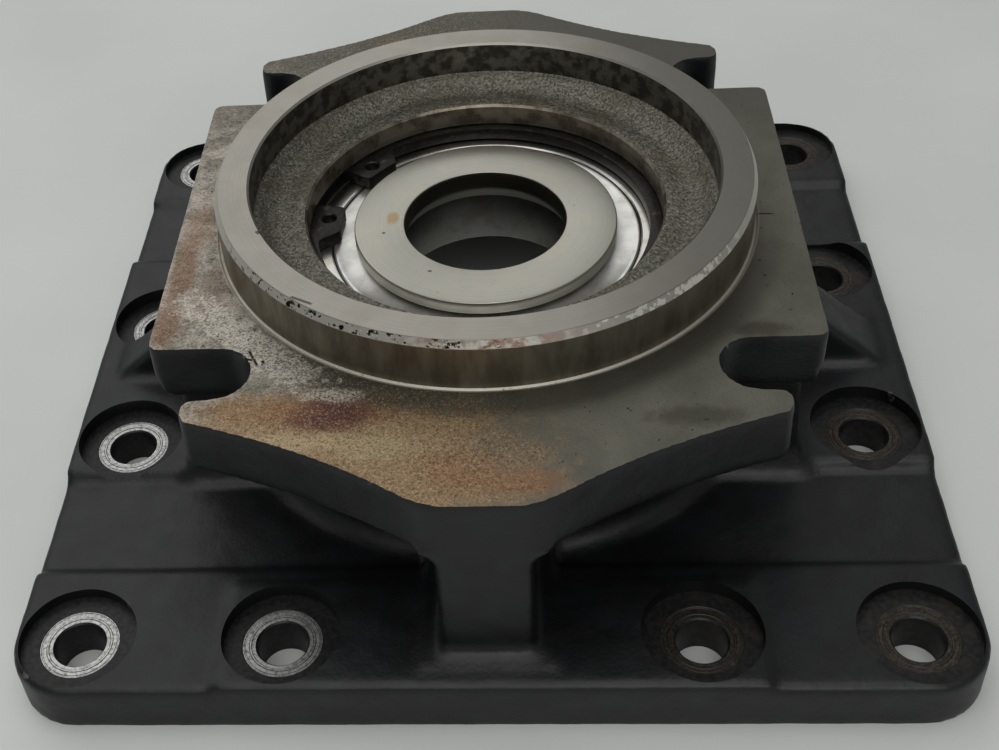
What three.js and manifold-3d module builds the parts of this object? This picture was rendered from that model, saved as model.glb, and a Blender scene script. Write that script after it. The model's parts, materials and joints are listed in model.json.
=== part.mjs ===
// Flange mount bearing: a cast housing with a square base and a slotted top flange,
// a shielded deep-groove ball bearing held by a retaining ring, and the shaft collar
// that turns with the bearing's inner ring.
//
// Millimetres, +Z up. The origin is the centre of the base's underside, on the shaft's
// axis. +X is right and +Y is back.

import * as THREE from 'three';
import { mergeVertices } from 'three/addons/utils/BufferGeometryUtils.js';
import Module from 'manifold-3d';

const wasm = await Module();
wasm.setup();

// ---------------------------------------------------------------- driving dimensions

const CLEARANCE = 0.3; // between two pieces that touch on the real object
const OVERRUN = 2; // how far a cutter passes the face that it opens

const BASE = {
  half: 104.2,
  cornerRadius: 14,
  floorZ: 10.2, // the low cast surface between the pads
  cornerPadZ: 12.3,
  cornerPadY: 71.5, // the corner pads start here
  stripZ: 13.3, // the strip between the middle bolts
  stripHalfX: 57.5,
  stripY: 76,
  sidePadZ: 13.3,
  sidePadHalfY: 42,
};

const BOLT = {
  line: 90, // the outer bolt lines, from the axis
  middle: 45, // the middle bolts on the front and back edges
  sideFront: -30,
  sideBackRight: 30,
  sideBackLeft: 15, // this one hole sits nearer the front than its twin
  holeRadius: 5.6,
  spotRadius: 13,
  spotZ: 9.7,
  cutterZ: 42, // the spot-facing cutter clears the side ribs up to here
};

const FLANGE = {
  bottomZ: 45,
  topZ: 59.3,
  halfX: 73.5,
  taperZ: 51, // the sides lean in below this height
  taperHalfX: 71.4,
  cornerRound: 2,
  slotCentre: 57.25, // of the four mounting slots, in X and Y
  slotHalfWidth: 7.75,
  lobeTipX: 63,
  lobeTipRound: 2,
  lobeNose: [8, 96], // where the flat at the lobe's end starts
};

const PILOT = {
  radius: 63.5,
  topZ: 72,
  chamferWidth: 1,
  chamferHeight: 1.8,
  recessRadius: 55.2,
  recessZ: 62.3,
  floorBreakRadius: 48,
  floorBreakZ: 61,
  lipZ: 59.85,
};

const DRUM = { radius: 66, footRadius: 69, footZ: 14.5 };
const SIDE_BODY = { footHalfX: 72.3, footHalfY: 41.6, topHalfX: 71, topHalfY: 40.4 };
const PILLAR = { halfX: 9.85, innerY: 55, outerY: 96, flareX: 3.8, flareY: 3.2, flareZ: 3.5 };
const RIB = { halfY: 8.5, footX: 98.4, topX: 71.5, topZ: 36 };

const CAVITY = {
  registerRadius: 64,
  registerDepth: 6,
  wallRadius: 61,
  crownRadius: 40,
  crownZ: 27,
  shoulderRadius: 38,
};

const BEARING = {
  bore: 45,
  outside: 85,
  width: 19,
  middleZ: 42,
  pitch: 65, // diameter of the circle through the balls' centres
  ball: 12.7,
  balls: 9,
  innerLandRadius: 28.8,
  outerLandRadius: 36.6,
  shieldSeatRadius: 37.6,
  shieldSeatDepth: 1.9,
  edge: 1, // chamfer on the rings' corners
};

const SHIELD = { boreRadius: 29.4, lip: 0.8, thickness: 0.8, rimHeight: 1.3, recess: 0.3 };
const CAGE = { innerRadius: 29.8, outerRadius: 35.2, thickness: 1 };
const RIVET = { shankRadius: 0.8, headRadius: 1.8, headHeight: 0.75 };

const CIRCLIP = {
  thickness: 3,
  grooveRadius: 44.25,
  innerRadius: 40.2,
  eccentricity: 0.6, // the band is this much wider opposite its gap
  gapAngle: 157.5, // degrees, counter-clockwise from +X
  gapHalfAngle: 10.5,
  earRadius: 35.2,
  earAngle: 15, // each ear is this wide, in degrees
  earBlend: 6, // and narrows to the band over this angle
  holeRadius: 1.75,
  holeInset: 3.4, // from the ear's inner edge to the hole's centre
};

const COLLAR = {
  radius: 31.8,
  boreRadius: 19.6,
  topZ: 55.6,
  skirtZ: 52.3,
  footRadius: 28,
  spigotZ: 47,
  coneZ: 50.5,
  coneRadius: 21.4,
  edge: 0.7,
};

// How finely each kind of round shape is divided.
const ROUND = { housing: 48, hole: 16, race: 45, ring: 36, cage: 27, ball: 12, rivet: 8, curve: 4 };

const BEARING_TOP = BEARING.middleZ + BEARING.width / 2;
const BEARING_BOTTOM = BEARING.middleZ - BEARING.width / 2;
const SEAT_RADIUS = BEARING.outside / 2 + CLEARANCE;
const PITCH_RADIUS = BEARING.pitch / 2;
const BALL_RADIUS = BEARING.ball / 2;
const GROOVE_RADIUS = BALL_RADIUS + CLEARANCE;
const BALL_STEP = (2 * Math.PI) / BEARING.balls;
const SIDES = [-1, 1];

// ---------------------------------------------------------------------- materials

function metal(color, roughness, metalness) {
  return new THREE.MeshStandardMaterial({ color, roughness, metalness });
}

const PAINTED_IRON = metal(0x22242a, 0.5, 0.35);
const BEARING_STEEL = metal(0xb9b9b6, 0.25, 1);
const BALL_STEEL = metal(0xd5d6d6, 0.08, 1);
const CAGE_STEEL = metal(0x9a9894, 0.4, 1);
const SHIELD_STEEL = metal(0xa8a69f, 0.35, 1);
const SPRING_STEEL = metal(0x1d1a18, 0.45, 0.6);
const COLLAR_STEEL = metal(0xc9c9c4, 0.22, 1);

// ---------------------------------------------------------------- geometry helpers

// The signed volume of a triangle list: negative when its faces point inwards.
function signedVolume(vertices, triangles) {
  const corner = (index) => new THREE.Vector3().fromArray(vertices, 3 * index);
  let volume = 0;
  for (let i = 0; i < triangles.length; i += 3) {
    const a = corner(triangles[i]);
    const b = corner(triangles[i + 1]);
    const c = corner(triangles[i + 2]);
    volume += a.dot(b.cross(c)) / 6;
  }
  return volume;
}

// Turns a closed three.js geometry into a solid that can be joined and cut.
function solid(geometry) {
  geometry.deleteAttribute('normal');
  geometry.deleteAttribute('uv');
  const merged = mergeVertices(geometry);
  const vertices = Float32Array.from(merged.getAttribute('position').array);
  const index = merged.getIndex().array;
  const triangles = [];
  for (let i = 0; i < index.length; i += 3) {
    const [a, b, c] = [index[i], index[i + 1], index[i + 2]];
    if (a !== b && b !== c && c !== a) {
      triangles.push(a, b, c);
    }
  }
  if (signedVolume(vertices, triangles) < 0) {
    triangles.reverse();
  }
  const triVerts = Uint32Array.from(triangles);
  return new wasm.Manifold(new wasm.Mesh({ numProp: 3, vertProperties: vertices, triVerts }));
}

// Turns a finished solid back into a three.js geometry.
function geometryOf(body) {
  const mesh = body.getMesh();
  const geometry = new THREE.BufferGeometry();
  geometry.setAttribute('position', new THREE.BufferAttribute(mesh.vertProperties, 3));
  geometry.setIndex(new THREE.BufferAttribute(mesh.triVerts, 1));
  geometry.computeVertexNormals();
  return geometry;
}

// A solid of revolution about +Z from a closed profile of [radius, height] points.
function turned(profile, segments = ROUND.ring) {
  const closed = [...profile, profile[0]].map(([r, z]) => new THREE.Vector2(r, z));
  return solid(new THREE.LatheGeometry(closed, segments).rotateX(Math.PI / 2));
}

// A plan outline raised from one height to another.
function raised(shape, lowZ, highZ, curveSegments = ROUND.curve) {
  const options = { depth: highZ - lowZ, bevelEnabled: false, curveSegments };
  return solid(new THREE.ExtrudeGeometry(shape, options).translate(0, 0, lowZ));
}

function outline(points) {
  return new THREE.Shape(points.map(([x, y]) => new THREE.Vector2(x, y)));
}

function disc(radius, lowZ, highZ, x = 0, y = 0, segments = ROUND.hole) {
  const height = highZ - lowZ;
  const cylinder = new THREE.CylinderGeometry(radius, radius, height, segments);
  return solid(cylinder.rotateX(Math.PI / 2).translate(x, y, lowZ + height / 2));
}

function block(lowX, highX, lowY, highY, lowZ, highZ) {
  const box = new THREE.BoxGeometry(highX - lowX, highY - lowY, highZ - lowZ);
  const centre = [(lowX + highX) / 2, (lowY + highY) / 2, (lowZ + highZ) / 2];
  return solid(box.translate(...centre));
}

// A block whose plan changes evenly from one rectangle to another.
function taperedBlock(low, high, y = 0) {
  const box = new THREE.BoxGeometry(2, 2, 2);
  const position = box.getAttribute('position');
  for (let i = 0; i < position.count; i += 1) {
    const end = position.getZ(i) < 0 ? low : high;
    position.setXYZ(i, position.getX(i) * end.halfX, y + position.getY(i) * end.halfY, end.z);
  }
  return solid(box);
}

function join(bodies) {
  return bodies.reduce((whole, body) => whole.add(body));
}

function cut(body, cutters) {
  return cutters.reduce((rest, cutter) => rest.subtract(cutter), body);
}

// Calls a maker for each pair of signs, such as one for each corner.
function eachCorner(make) {
  return SIDES.flatMap((signX) => SIDES.map((signY) => make(signX, signY)));
}

// ------------------------------------------------------------------------- housing

function roundedSquare(half, radius) {
  const shape = new THREE.Shape();
  const inner = half - radius;
  const quarter = Math.PI / 2;
  shape.absarc(inner, inner, radius, 0, quarter);
  shape.absarc(-inner, inner, radius, quarter, 2 * quarter);
  shape.absarc(-inner, -inner, radius, 2 * quarter, 3 * quarter);
  shape.absarc(inner, -inner, radius, 3 * quarter, 4 * quarter);
  return shape;
}

// The raised pads on the plate's front (side -1) or back (side 1) edge.
function edgePads(side) {
  const { half, cornerPadY, cornerPadZ, stripHalfX, stripY, stripZ } = BASE;
  const corners = taperedBlock(
    { halfX: half, halfY: (half - cornerPadY) / 2, z: 0 },
    { halfX: half, halfY: (half - cornerPadY) / 2, z: cornerPadZ },
    side * (half + cornerPadY) / 2,
  );
  const strip = taperedBlock(
    { halfX: stripHalfX, halfY: (half - stripY) / 2, z: 0 },
    { halfX: stripHalfX, halfY: (half - stripY) / 2, z: stripZ },
    side * (half + stripY) / 2,
  );
  return corners.add(strip);
}

function basePlate() {
  const { half, cornerRadius, floorZ, sidePadHalfY, sidePadZ } = BASE;
  const square = roundedSquare(half, cornerRadius);
  const sidePads = block(-half, half, -sidePadHalfY, sidePadHalfY, 0, sidePadZ);
  const pads = join([sidePads, ...SIDES.map(edgePads)]);
  return raised(square, 0, floorZ).add(pads.intersect(raised(square, 0, sidePadZ)));
}

// One quarter of the top flange's outline, from the +X axis round to the +Y axis.
function flangeQuarter() {
  const { halfX, cornerRound, slotCentre, slotHalfWidth, lobeTipX, lobeTipRound } = FLANGE;
  const nearWall = slotCentre - slotHalfWidth;
  const farWall = slotCentre + slotHalfWidth;
  const quarter = Math.PI / 2;
  const path = new THREE.Path();
  path.moveTo(halfX, 0);
  path.absarc(halfX - cornerRound, nearWall - cornerRound, cornerRound, 0, quarter);
  path.absarc(slotCentre, slotCentre, slotHalfWidth, -quarter, quarter, true);
  path.absarc(lobeTipX - lobeTipRound, farWall + lobeTipRound, lobeTipRound, -quarter, 0);
  path.lineTo(lobeTipX, farWall + 4.5);
  path.quadraticCurveTo(lobeTipX, farWall + 6.6, lobeTipX - 2.2, farWall + 7.2);
  path.bezierCurveTo(44, 77.4, 32, 83.2, 23, 88.5);
  path.bezierCurveTo(17, 92, 13, 95.5, ...FLANGE.lobeNose);
  path.lineTo(0, FLANGE.lobeNose[1]);
  return path.getPoints(ROUND.curve).map((point) => [point.x, point.y]);
}

function flangeOutline() {
  const quarter = flangeQuarter();
  const mirrored = quarter.map(([x, y]) => [-x, y]).reverse();
  const back = [...quarter, ...mirrored.slice(1)];
  const front = back.map(([x, y]) => [x, -y]).reverse();
  return outline([...back, ...front.slice(1, -1)]);
}

// The wedge that leans a flange side in below the taper height.
function flangeTaper(side) {
  const { bottomZ, halfX, taperZ, taperHalfX } = FLANGE;
  const wedge = outline([
    [side * halfX, taperZ],
    [side * (halfX + OVERRUN), taperZ],
    [side * (halfX + OVERRUN), bottomZ - 1],
    [side * taperHalfX, bottomZ - 1],
  ]);
  const depth = 2 * FLANGE.slotCentre;
  const options = { depth, bevelEnabled: false };
  const prism = new THREE.ExtrudeGeometry(wedge, options);
  return solid(prism.rotateX(Math.PI / 2).translate(0, depth / 2, 0));
}

function topFlange() {
  const plate = raised(flangeOutline(), FLANGE.bottomZ, FLANGE.topZ);
  return cut(plate, SIDES.map(flangeTaper));
}

function pilotRing() {
  const { radius, topZ, chamferWidth, chamferHeight } = PILOT;
  return turned([
    [0, FLANGE.bottomZ],
    [radius, FLANGE.bottomZ],
    [radius, topZ - chamferHeight],
    [radius - chamferWidth, topZ],
    [0, topZ],
  ], ROUND.housing);
}

function drum() {
  const { radius, footRadius, footZ } = DRUM;
  return turned([
    [0, BASE.floorZ / 2],
    [footRadius, BASE.floorZ / 2],
    [footRadius, BASE.floorZ],
    [radius + 0.7, footZ - 2],
    [radius, footZ],
    [radius, FLANGE.bottomZ - 2],
    [radius + 2, FLANGE.bottomZ + 1],
    [0, FLANGE.bottomZ + 1],
  ], ROUND.housing);
}

function sideBody() {
  const low = { halfX: SIDE_BODY.footHalfX, halfY: SIDE_BODY.footHalfY, z: BASE.floorZ / 2 };
  const high = { halfX: SIDE_BODY.topHalfX, halfY: SIDE_BODY.topHalfY, z: FLANGE.bottomZ + 1 };
  return taperedBlock(low, high);
}

// The web that carries a lobe of the top flange, flared at its foot and its head.
function pillar(side) {
  const { halfX, innerY, outerY, flareX, flareY, flareZ } = PILLAR;
  const y = side * (innerY + outerY) / 2;
  const halfY = (outerY - innerY) / 2;
  const shaft = { halfX, halfY };
  const foot = { halfX: halfX + flareX, halfY: halfY + flareY };
  const head = { halfX: halfX + flareX, halfY };
  const footZ = BASE.stripZ;
  const headZ = FLANGE.bottomZ + 1;
  return join([
    taperedBlock({ ...foot, z: BASE.floorZ / 2 }, { ...foot, z: footZ }, y),
    taperedBlock({ ...foot, z: footZ }, { ...shaft, z: footZ + flareZ }, y),
    taperedBlock({ ...shaft, z: footZ }, { ...shaft, z: headZ }, y),
    taperedBlock({ ...shaft, z: headZ - flareZ }, { ...head, z: headZ }, y),
  ]);
}

// The sloping rib from the side of the body down to the side pad.
function sideRib(side) {
  const { halfY, footX, topX, topZ } = RIB;
  const profile = outline([
    [side * DRUM.radius, BASE.floorZ / 2],
    [side * footX, BASE.floorZ / 2],
    [side * footX, BASE.sidePadZ],
    [side * topX, topZ],
    [side * DRUM.radius, topZ],
  ]);
  const prism = new THREE.ExtrudeGeometry(profile, { depth: 2 * halfY, bevelEnabled: false });
  return solid(prism.rotateX(Math.PI / 2).translate(0, halfY, 0));
}

function boltCentres() {
  const { line, middle, sideFront, sideBackRight, sideBackLeft } = BOLT;
  const corners = eachCorner((signX, signY) => [signX * line, signY * line]);
  const middles = eachCorner((signX, signY) => [signX * middle, signY * line]);
  const sides = [[-line, sideFront], [line, sideFront], [line, sideBackRight], [-line, sideBackLeft]];
  return [...corners, ...middles, ...sides];
}

function boltHole([x, y]) {
  const hole = disc(BOLT.holeRadius, -OVERRUN, BOLT.spotZ + OVERRUN, x, y);
  const spotFace = disc(BOLT.spotRadius, BOLT.spotZ, BOLT.cutterZ, x, y);
  return hole.add(spotFace);
}

// The pilot's recess, the bearing seat and the groove for the retaining ring.
function seatCutter() {
  const grooveTop = BEARING_TOP + CIRCLIP.thickness + 2 * CLEARANCE;
  return turned([
    [0, CAVITY.crownZ],
    [CAVITY.shoulderRadius, CAVITY.crownZ],
    [CAVITY.shoulderRadius, BEARING_BOTTOM - CLEARANCE],
    [SEAT_RADIUS, BEARING_BOTTOM - CLEARANCE],
    [SEAT_RADIUS, BEARING_TOP],
    [CIRCLIP.grooveRadius, BEARING_TOP],
    [CIRCLIP.grooveRadius, grooveTop],
    [SEAT_RADIUS, grooveTop],
    [SEAT_RADIUS, PILOT.lipZ],
    [PILOT.floorBreakRadius, PILOT.floorBreakZ],
    [PILOT.recessRadius, PILOT.recessZ],
    [PILOT.recessRadius, PILOT.topZ + OVERRUN],
    [0, PILOT.topZ + OVERRUN],
  ], ROUND.housing);
}

// The space under the bearing: a machined register and a domed cast cavity.
function cavityCutter() {
  const { registerRadius, registerDepth, wallRadius, crownRadius, crownZ } = CAVITY;
  const dome = new THREE.QuadraticBezierCurve(
    new THREE.Vector2(wallRadius, registerDepth),
    new THREE.Vector2(wallRadius - 4, crownZ - 1),
    new THREE.Vector2(crownRadius, crownZ),
  );
  return turned([
    [0, -OVERRUN],
    [registerRadius, -OVERRUN],
    [registerRadius, registerDepth],
    ...dome.getPoints(ROUND.curve).map((point) => [point.x, point.y]),
    [0, crownZ],
  ], ROUND.housing);
}

function housing() {
  const casting = join([
    basePlate(),
    drum(),
    sideBody(),
    topFlange(),
    pilotRing(),
    ...SIDES.map(pillar),
    ...SIDES.map(sideRib),
  ]);
  return cut(casting, [seatCutter(), cavityCutter(), ...boltCentres().map(boltHole)]);
}

// ------------------------------------------------------------------------- bearing

// Points along the ball groove, from the lower land to the upper, on the ring whose
// side is 1 outside the balls and -1 inside them.
function groovePoints(side, landRadius) {
  const reach = Math.acos(Math.abs(landRadius - PITCH_RADIUS) / GROOVE_RADIUS);
  const steps = 5;
  return Array.from({ length: steps + 1 }, (_, i) => {
    const angle = reach * ((2 * i) / steps - 1);
    const radius = PITCH_RADIUS + side * GROOVE_RADIUS * Math.cos(angle);
    return [radius, BEARING.middleZ + GROOVE_RADIUS * Math.sin(angle)];
  });
}

function outerRing() {
  const { edge, outerLandRadius, shieldSeatRadius, shieldSeatDepth } = BEARING;
  const radius = BEARING.outside / 2;
  return turned([
    [shieldSeatRadius, BEARING_BOTTOM],
    [radius - edge, BEARING_BOTTOM],
    [radius, BEARING_BOTTOM + edge],
    [radius, BEARING_TOP - edge],
    [radius - edge, BEARING_TOP],
    [shieldSeatRadius, BEARING_TOP],
    [shieldSeatRadius, BEARING_TOP - shieldSeatDepth],
    [outerLandRadius, BEARING_TOP - shieldSeatDepth],
    ...groovePoints(1, outerLandRadius).reverse(),
    [outerLandRadius, BEARING_BOTTOM + shieldSeatDepth],
    [shieldSeatRadius, BEARING_BOTTOM + shieldSeatDepth],
  ], ROUND.race);
}

function innerRing() {
  const { edge, innerLandRadius } = BEARING;
  const radius = BEARING.bore / 2;
  return turned([
    [radius + edge, BEARING_BOTTOM],
    [innerLandRadius, BEARING_BOTTOM],
    ...groovePoints(-1, innerLandRadius),
    [innerLandRadius, BEARING_TOP],
    [radius + edge, BEARING_TOP],
    [radius, BEARING_TOP - edge],
    [radius, BEARING_BOTTOM + edge],
  ], ROUND.race);
}

// A shield is described at the bearing's top face; side -1 mirrors it to the bottom.
function shield(side) {
  const { boreRadius, lip, thickness, rimHeight, recess } = SHIELD;
  const rimRadius = BEARING.shieldSeatRadius - CLEARANCE;
  const faceHeight = BEARING.width / 2 - recess;
  const profile = [
    [boreRadius, faceHeight],
    [boreRadius, faceHeight - rimHeight],
    [boreRadius + lip, faceHeight - rimHeight],
    [boreRadius + lip, faceHeight - thickness],
    [rimRadius - lip, faceHeight - thickness],
    [rimRadius - lip, faceHeight - rimHeight],
    [rimRadius, faceHeight - rimHeight],
    [rimRadius, faceHeight],
  ];
  return turned(profile.map(([r, height]) => [r, BEARING.middleZ + side * height]));
}

// A ball with its poles along Z. The cage's pockets are larger balls of the same make,
// so that the gap round each ball is even.
function ballGeometry(radius) {
  const ball = new THREE.SphereGeometry(radius, ROUND.ball, ROUND.ball - 4);
  return ball.rotateX(Math.PI / 2);
}

function pocket(radius, index) {
  const ball = ballGeometry(radius).translate(PITCH_RADIUS, 0, BEARING.middleZ);
  return solid(ball.rotateZ(index * BALL_STEP));
}

function rivetHole(index) {
  const angle = (index + 0.5) * BALL_STEP;
  const x = PITCH_RADIUS * Math.cos(angle);
  const y = PITCH_RADIUS * Math.sin(angle);
  const reach = BALL_RADIUS;
  const radius = RIVET.shankRadius + CLEARANCE;
  return disc(radius, BEARING.middleZ - reach, BEARING.middleZ + reach, x, y, ROUND.rivet);
}

// A flat band of the cage's width, between two heights above the balls' centres.
function cageBand(lowHeight, highHeight) {
  const { innerRadius, outerRadius } = CAGE;
  return turned([
    [innerRadius, BEARING.middleZ + lowHeight],
    [outerRadius, BEARING.middleZ + lowHeight],
    [outerRadius, BEARING.middleZ + highHeight],
    [innerRadius, BEARING.middleZ + highHeight],
  ], ROUND.cage);
}

// One pressed half of the cage: side 1 lies above the balls' centres and -1 below.
function cageHalf(side) {
  const near = side * CLEARANCE / 2;
  const far = near + side * CAGE.thickness;
  const dome = side * (GROOVE_RADIUS + CAGE.thickness + 1);
  const indexes = Array.from({ length: BEARING.balls }, (_, index) => index);
  const bulges = indexes.map((index) => pocket(GROOVE_RADIUS + CAGE.thickness, index));
  const hollows = indexes.map((index) => pocket(GROOVE_RADIUS, index));
  const bulged = join(bulges).intersect(cageBand(near, dome));
  return cut(cageBand(near, far).add(bulged), [...hollows, ...indexes.map(rivetHole)]);
}

// A rivet's two heads are domed and its shank passes both halves of the cage.
function rivet() {
  const { shankRadius, headRadius, headHeight } = RIVET;
  const seat = CLEARANCE / 2 + CAGE.thickness + CLEARANCE;
  const crown = 0.55 * headRadius;
  return turned([
    [0, -seat - headHeight],
    [crown, -seat - headHeight],
    [headRadius, -seat],
    [shankRadius, -seat],
    [shankRadius, seat],
    [headRadius, seat],
    [crown, seat + headHeight],
    [0, seat + headHeight],
  ], ROUND.rivet);
}

// ------------------------------------------------------- retaining ring and collar

// Where the retaining ring's inner edge lies, at an angle in degrees from its gap.
function circlipInnerRadius(fromGap) {
  const { innerRadius, eccentricity, earRadius, earAngle, earBlend, gapHalfAngle } = CIRCLIP;
  const band = innerRadius + eccentricity * Math.cos(THREE.MathUtils.degToRad(fromGap));
  const earEnd = gapHalfAngle + earAngle;
  const ear = 1 - THREE.MathUtils.smoothstep(Math.abs(fromGap), earEnd, earEnd + earBlend);
  return THREE.MathUtils.lerp(band, earRadius, ear);
}

function circlipEdge(radiusAt) {
  const { gapAngle, gapHalfAngle } = CIRCLIP;
  const span = 180 - gapHalfAngle;
  return Array.from({ length: ROUND.housing + 1 }, (_, i) => {
    const fromGap = gapHalfAngle + (2 * span * i) / ROUND.housing;
    const signed = fromGap > 180 ? fromGap - 360 : fromGap;
    const angle = THREE.MathUtils.degToRad(gapAngle + fromGap);
    const radius = radiusAt(signed);
    return [radius * Math.cos(angle), radius * Math.sin(angle)];
  });
}

function circlip() {
  const { thickness, grooveRadius, gapAngle, gapHalfAngle, earAngle, earRadius } = CIRCLIP;
  const outer = circlipEdge(() => grooveRadius - CLEARANCE);
  const inner = circlipEdge(circlipInnerRadius).reverse();
  const lowZ = BEARING_TOP + CLEARANCE;
  const ring = raised(outline([...outer, ...inner]), lowZ, lowZ + thickness);
  const holeDistance = earRadius + CIRCLIP.holeInset;
  const holes = SIDES.map((side) => {
    const degrees = gapAngle + side * (gapHalfAngle + earAngle / 2);
    const angle = THREE.MathUtils.degToRad(degrees);
    const x = holeDistance * Math.cos(angle);
    const y = holeDistance * Math.sin(angle);
    return disc(CIRCLIP.holeRadius, lowZ - 1, lowZ + thickness + 1, x, y, ROUND.rivet);
  });
  return cut(ring, holes);
}

function collar() {
  const { radius, boreRadius, topZ, skirtZ, footRadius, spigotZ, edge } = COLLAR;
  const spigotRadius = BEARING.bore / 2 - CLEARANCE;
  const footZ = BEARING_TOP + CLEARANCE;
  return turned([
    [boreRadius + edge, topZ],
    [boreRadius, topZ - edge],
    [boreRadius, COLLAR.coneZ],
    [COLLAR.coneRadius, spigotZ],
    [spigotRadius, spigotZ],
    [spigotRadius, footZ],
    [footRadius, footZ],
    [footRadius, skirtZ],
    [radius, skirtZ],
    [radius, topZ - edge],
    [radius - edge, topZ],
  ]);
}

// ------------------------------------------------------------------------ assembly

const assembly = new THREE.Group();
const fixed = new THREE.Group(); // the housing and what is held still in it
const hub = new THREE.Group(); // what turns with the shaft
const ballSet = new THREE.Group(); // the balls and their cage
assembly.add(fixed, hub, ballSet);

function addPiece(group, name, body, material) {
  const mesh = new THREE.Mesh(geometryOf(body), material);
  mesh.name = name;
  group.add(mesh);
  return mesh;
}

addPiece(fixed, 'flange_housing', housing(), PAINTED_IRON);
addPiece(fixed, 'bearing_outer_ring', outerRing(), BEARING_STEEL);
addPiece(fixed, 'bearing_shield_upper', shield(1), SHIELD_STEEL);
addPiece(fixed, 'bearing_shield_lower', shield(-1), SHIELD_STEEL);
addPiece(fixed, 'bore_circlip', circlip(), SPRING_STEEL);

addPiece(hub, 'bearing_inner_ring', innerRing(), BEARING_STEEL);
addPiece(hub, 'shaft_collar', collar(), COLLAR_STEEL);

addPiece(ballSet, 'bearing_cage_upper', cageHalf(1), CAGE_STEEL);
addPiece(ballSet, 'bearing_cage_lower', cageHalf(-1), CAGE_STEEL);

// The balls and rivets alternate round the pitch circle.
for (let index = 0; index < BEARING.balls; index += 1) {
  const number = String(index + 1).padStart(2, '0');
  const station = new THREE.Group();
  station.rotation.z = index * BALL_STEP;
  station.position.z = BEARING.middleZ;
  ballSet.add(station);

  const ballBody = solid(ballGeometry(BALL_RADIUS));
  const ball = addPiece(station, `bearing_ball_${number}`, ballBody, BALL_STEEL);
  ball.position.x = PITCH_RADIUS;

  const pin = addPiece(station, `cage_rivet_${number}`, rivet(), CAGE_STEEL);
  pin.position.x = PITCH_RADIUS * Math.cos(BALL_STEP / 2);
  pin.position.y = PITCH_RADIUS * Math.sin(BALL_STEP / 2);
}

export default assembly;
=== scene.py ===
"""The looks of the flange mount bearing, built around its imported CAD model.

Shapes are worked out in millimetres in the model's own frame (origin at the middle of
the base's underside, +X right, +Y back, +Z up) and stored in metres.
"""

import json
import math

import bmesh
import bpy
import numpy as np
from mathutils import Matrix, Vector, noise


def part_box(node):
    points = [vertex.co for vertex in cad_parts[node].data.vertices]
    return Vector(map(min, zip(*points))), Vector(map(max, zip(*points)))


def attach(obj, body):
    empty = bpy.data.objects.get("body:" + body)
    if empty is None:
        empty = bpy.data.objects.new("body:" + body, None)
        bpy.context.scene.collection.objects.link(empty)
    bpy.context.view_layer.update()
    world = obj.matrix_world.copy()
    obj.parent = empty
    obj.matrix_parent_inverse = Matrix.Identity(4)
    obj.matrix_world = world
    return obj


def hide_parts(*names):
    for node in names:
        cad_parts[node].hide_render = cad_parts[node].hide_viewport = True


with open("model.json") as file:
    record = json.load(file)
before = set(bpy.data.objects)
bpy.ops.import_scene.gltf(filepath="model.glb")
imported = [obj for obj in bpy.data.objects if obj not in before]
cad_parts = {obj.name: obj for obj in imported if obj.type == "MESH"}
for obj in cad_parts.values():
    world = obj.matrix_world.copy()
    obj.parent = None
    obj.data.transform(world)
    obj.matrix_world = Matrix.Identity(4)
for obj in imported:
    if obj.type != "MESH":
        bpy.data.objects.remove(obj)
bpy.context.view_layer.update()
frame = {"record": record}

MM = 0.001
SIDES = (-1, 1)

# ------------------------------------------------------------------ sizes, from the frame


def low_mm(node):
    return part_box(node)[0] / MM


def high_mm(node):
    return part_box(node)[1] / MM


BASE_HALF = high_mm("flange_housing").x
PILOT_TOP = high_mm("flange_housing").z
BEARING_TOP = high_mm("bearing_outer_ring").z
BEARING_BOTTOM = low_mm("bearing_outer_ring").z
BEARING_MIDDLE = (BEARING_TOP + BEARING_BOTTOM) / 2
BEARING_RADIUS = high_mm("bearing_outer_ring").x
COLLAR_TOP = high_mm("shaft_collar").z
COLLAR_RADIUS = high_mm("shaft_collar").x
CLIP_LOW = low_mm("bore_circlip").z
CLIP_HIGH = high_mm("bore_circlip").z
BALLS = 9
BALL_STEP = 2 * math.pi / BALLS

# ----------------------------------------------------- sizes that the CAD model's parts have

CLEARANCE = 0.3
CORNER_RADIUS = 14.0
FLOOR_Z = 10.2
CORNER_PAD_Z = 12.3
CORNER_PAD_Y = 71.5
STRIP_Z = 13.3
STRIP_HALF_X = 57.5
STRIP_Y = 76.0
SIDE_PAD_HALF_Y = 42.0

HOLE_RADIUS = 5.6
SPOT_RADIUS = 13.0
SPOT_Z = 9.7
CUTTER_Z = 42.0
WASHER_RADIUS = 8.7
WASHER_DEPTH = 0.12

FLANGE_BOTTOM = 45.0
FLANGE_TOP = 59.3
FLANGE_HALF_X = 73.5
FLANGE_TAPER_Z = 51.0
FLANGE_TAPER_HALF_X = 71.4
SLOT_CENTRE = 57.25
SLOT_HALF_WIDTH = 7.75
LOBE_TIP_X = 63.0
LOBE_NOSE = (8.0, 96.0)

PILOT_RADIUS = 63.5
PILOT_CHAMFER_WIDTH = 1.0
PILOT_CHAMFER_HEIGHT = 1.8
RECESS_RADIUS = 55.2
RECESS_Z = 62.3
LIP_Z = 59.85
SHOULDER_TOP_Z = 58.5

DRUM_RADIUS = 66.0
SIDE_FOOT = (72.3, 41.6)
SIDE_TOP = (71.0, 40.4)
PILLAR_HALF_X = 9.85
PILLAR_INNER_Y = 55.0
PILLAR_OUTER_Y = 96.0
RIB_HALF_Y = 8.5
RIB_FOOT_X = 98.4
RIB_TOP_X = 71.5
RIB_TOP_Z = 36.0

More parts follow.
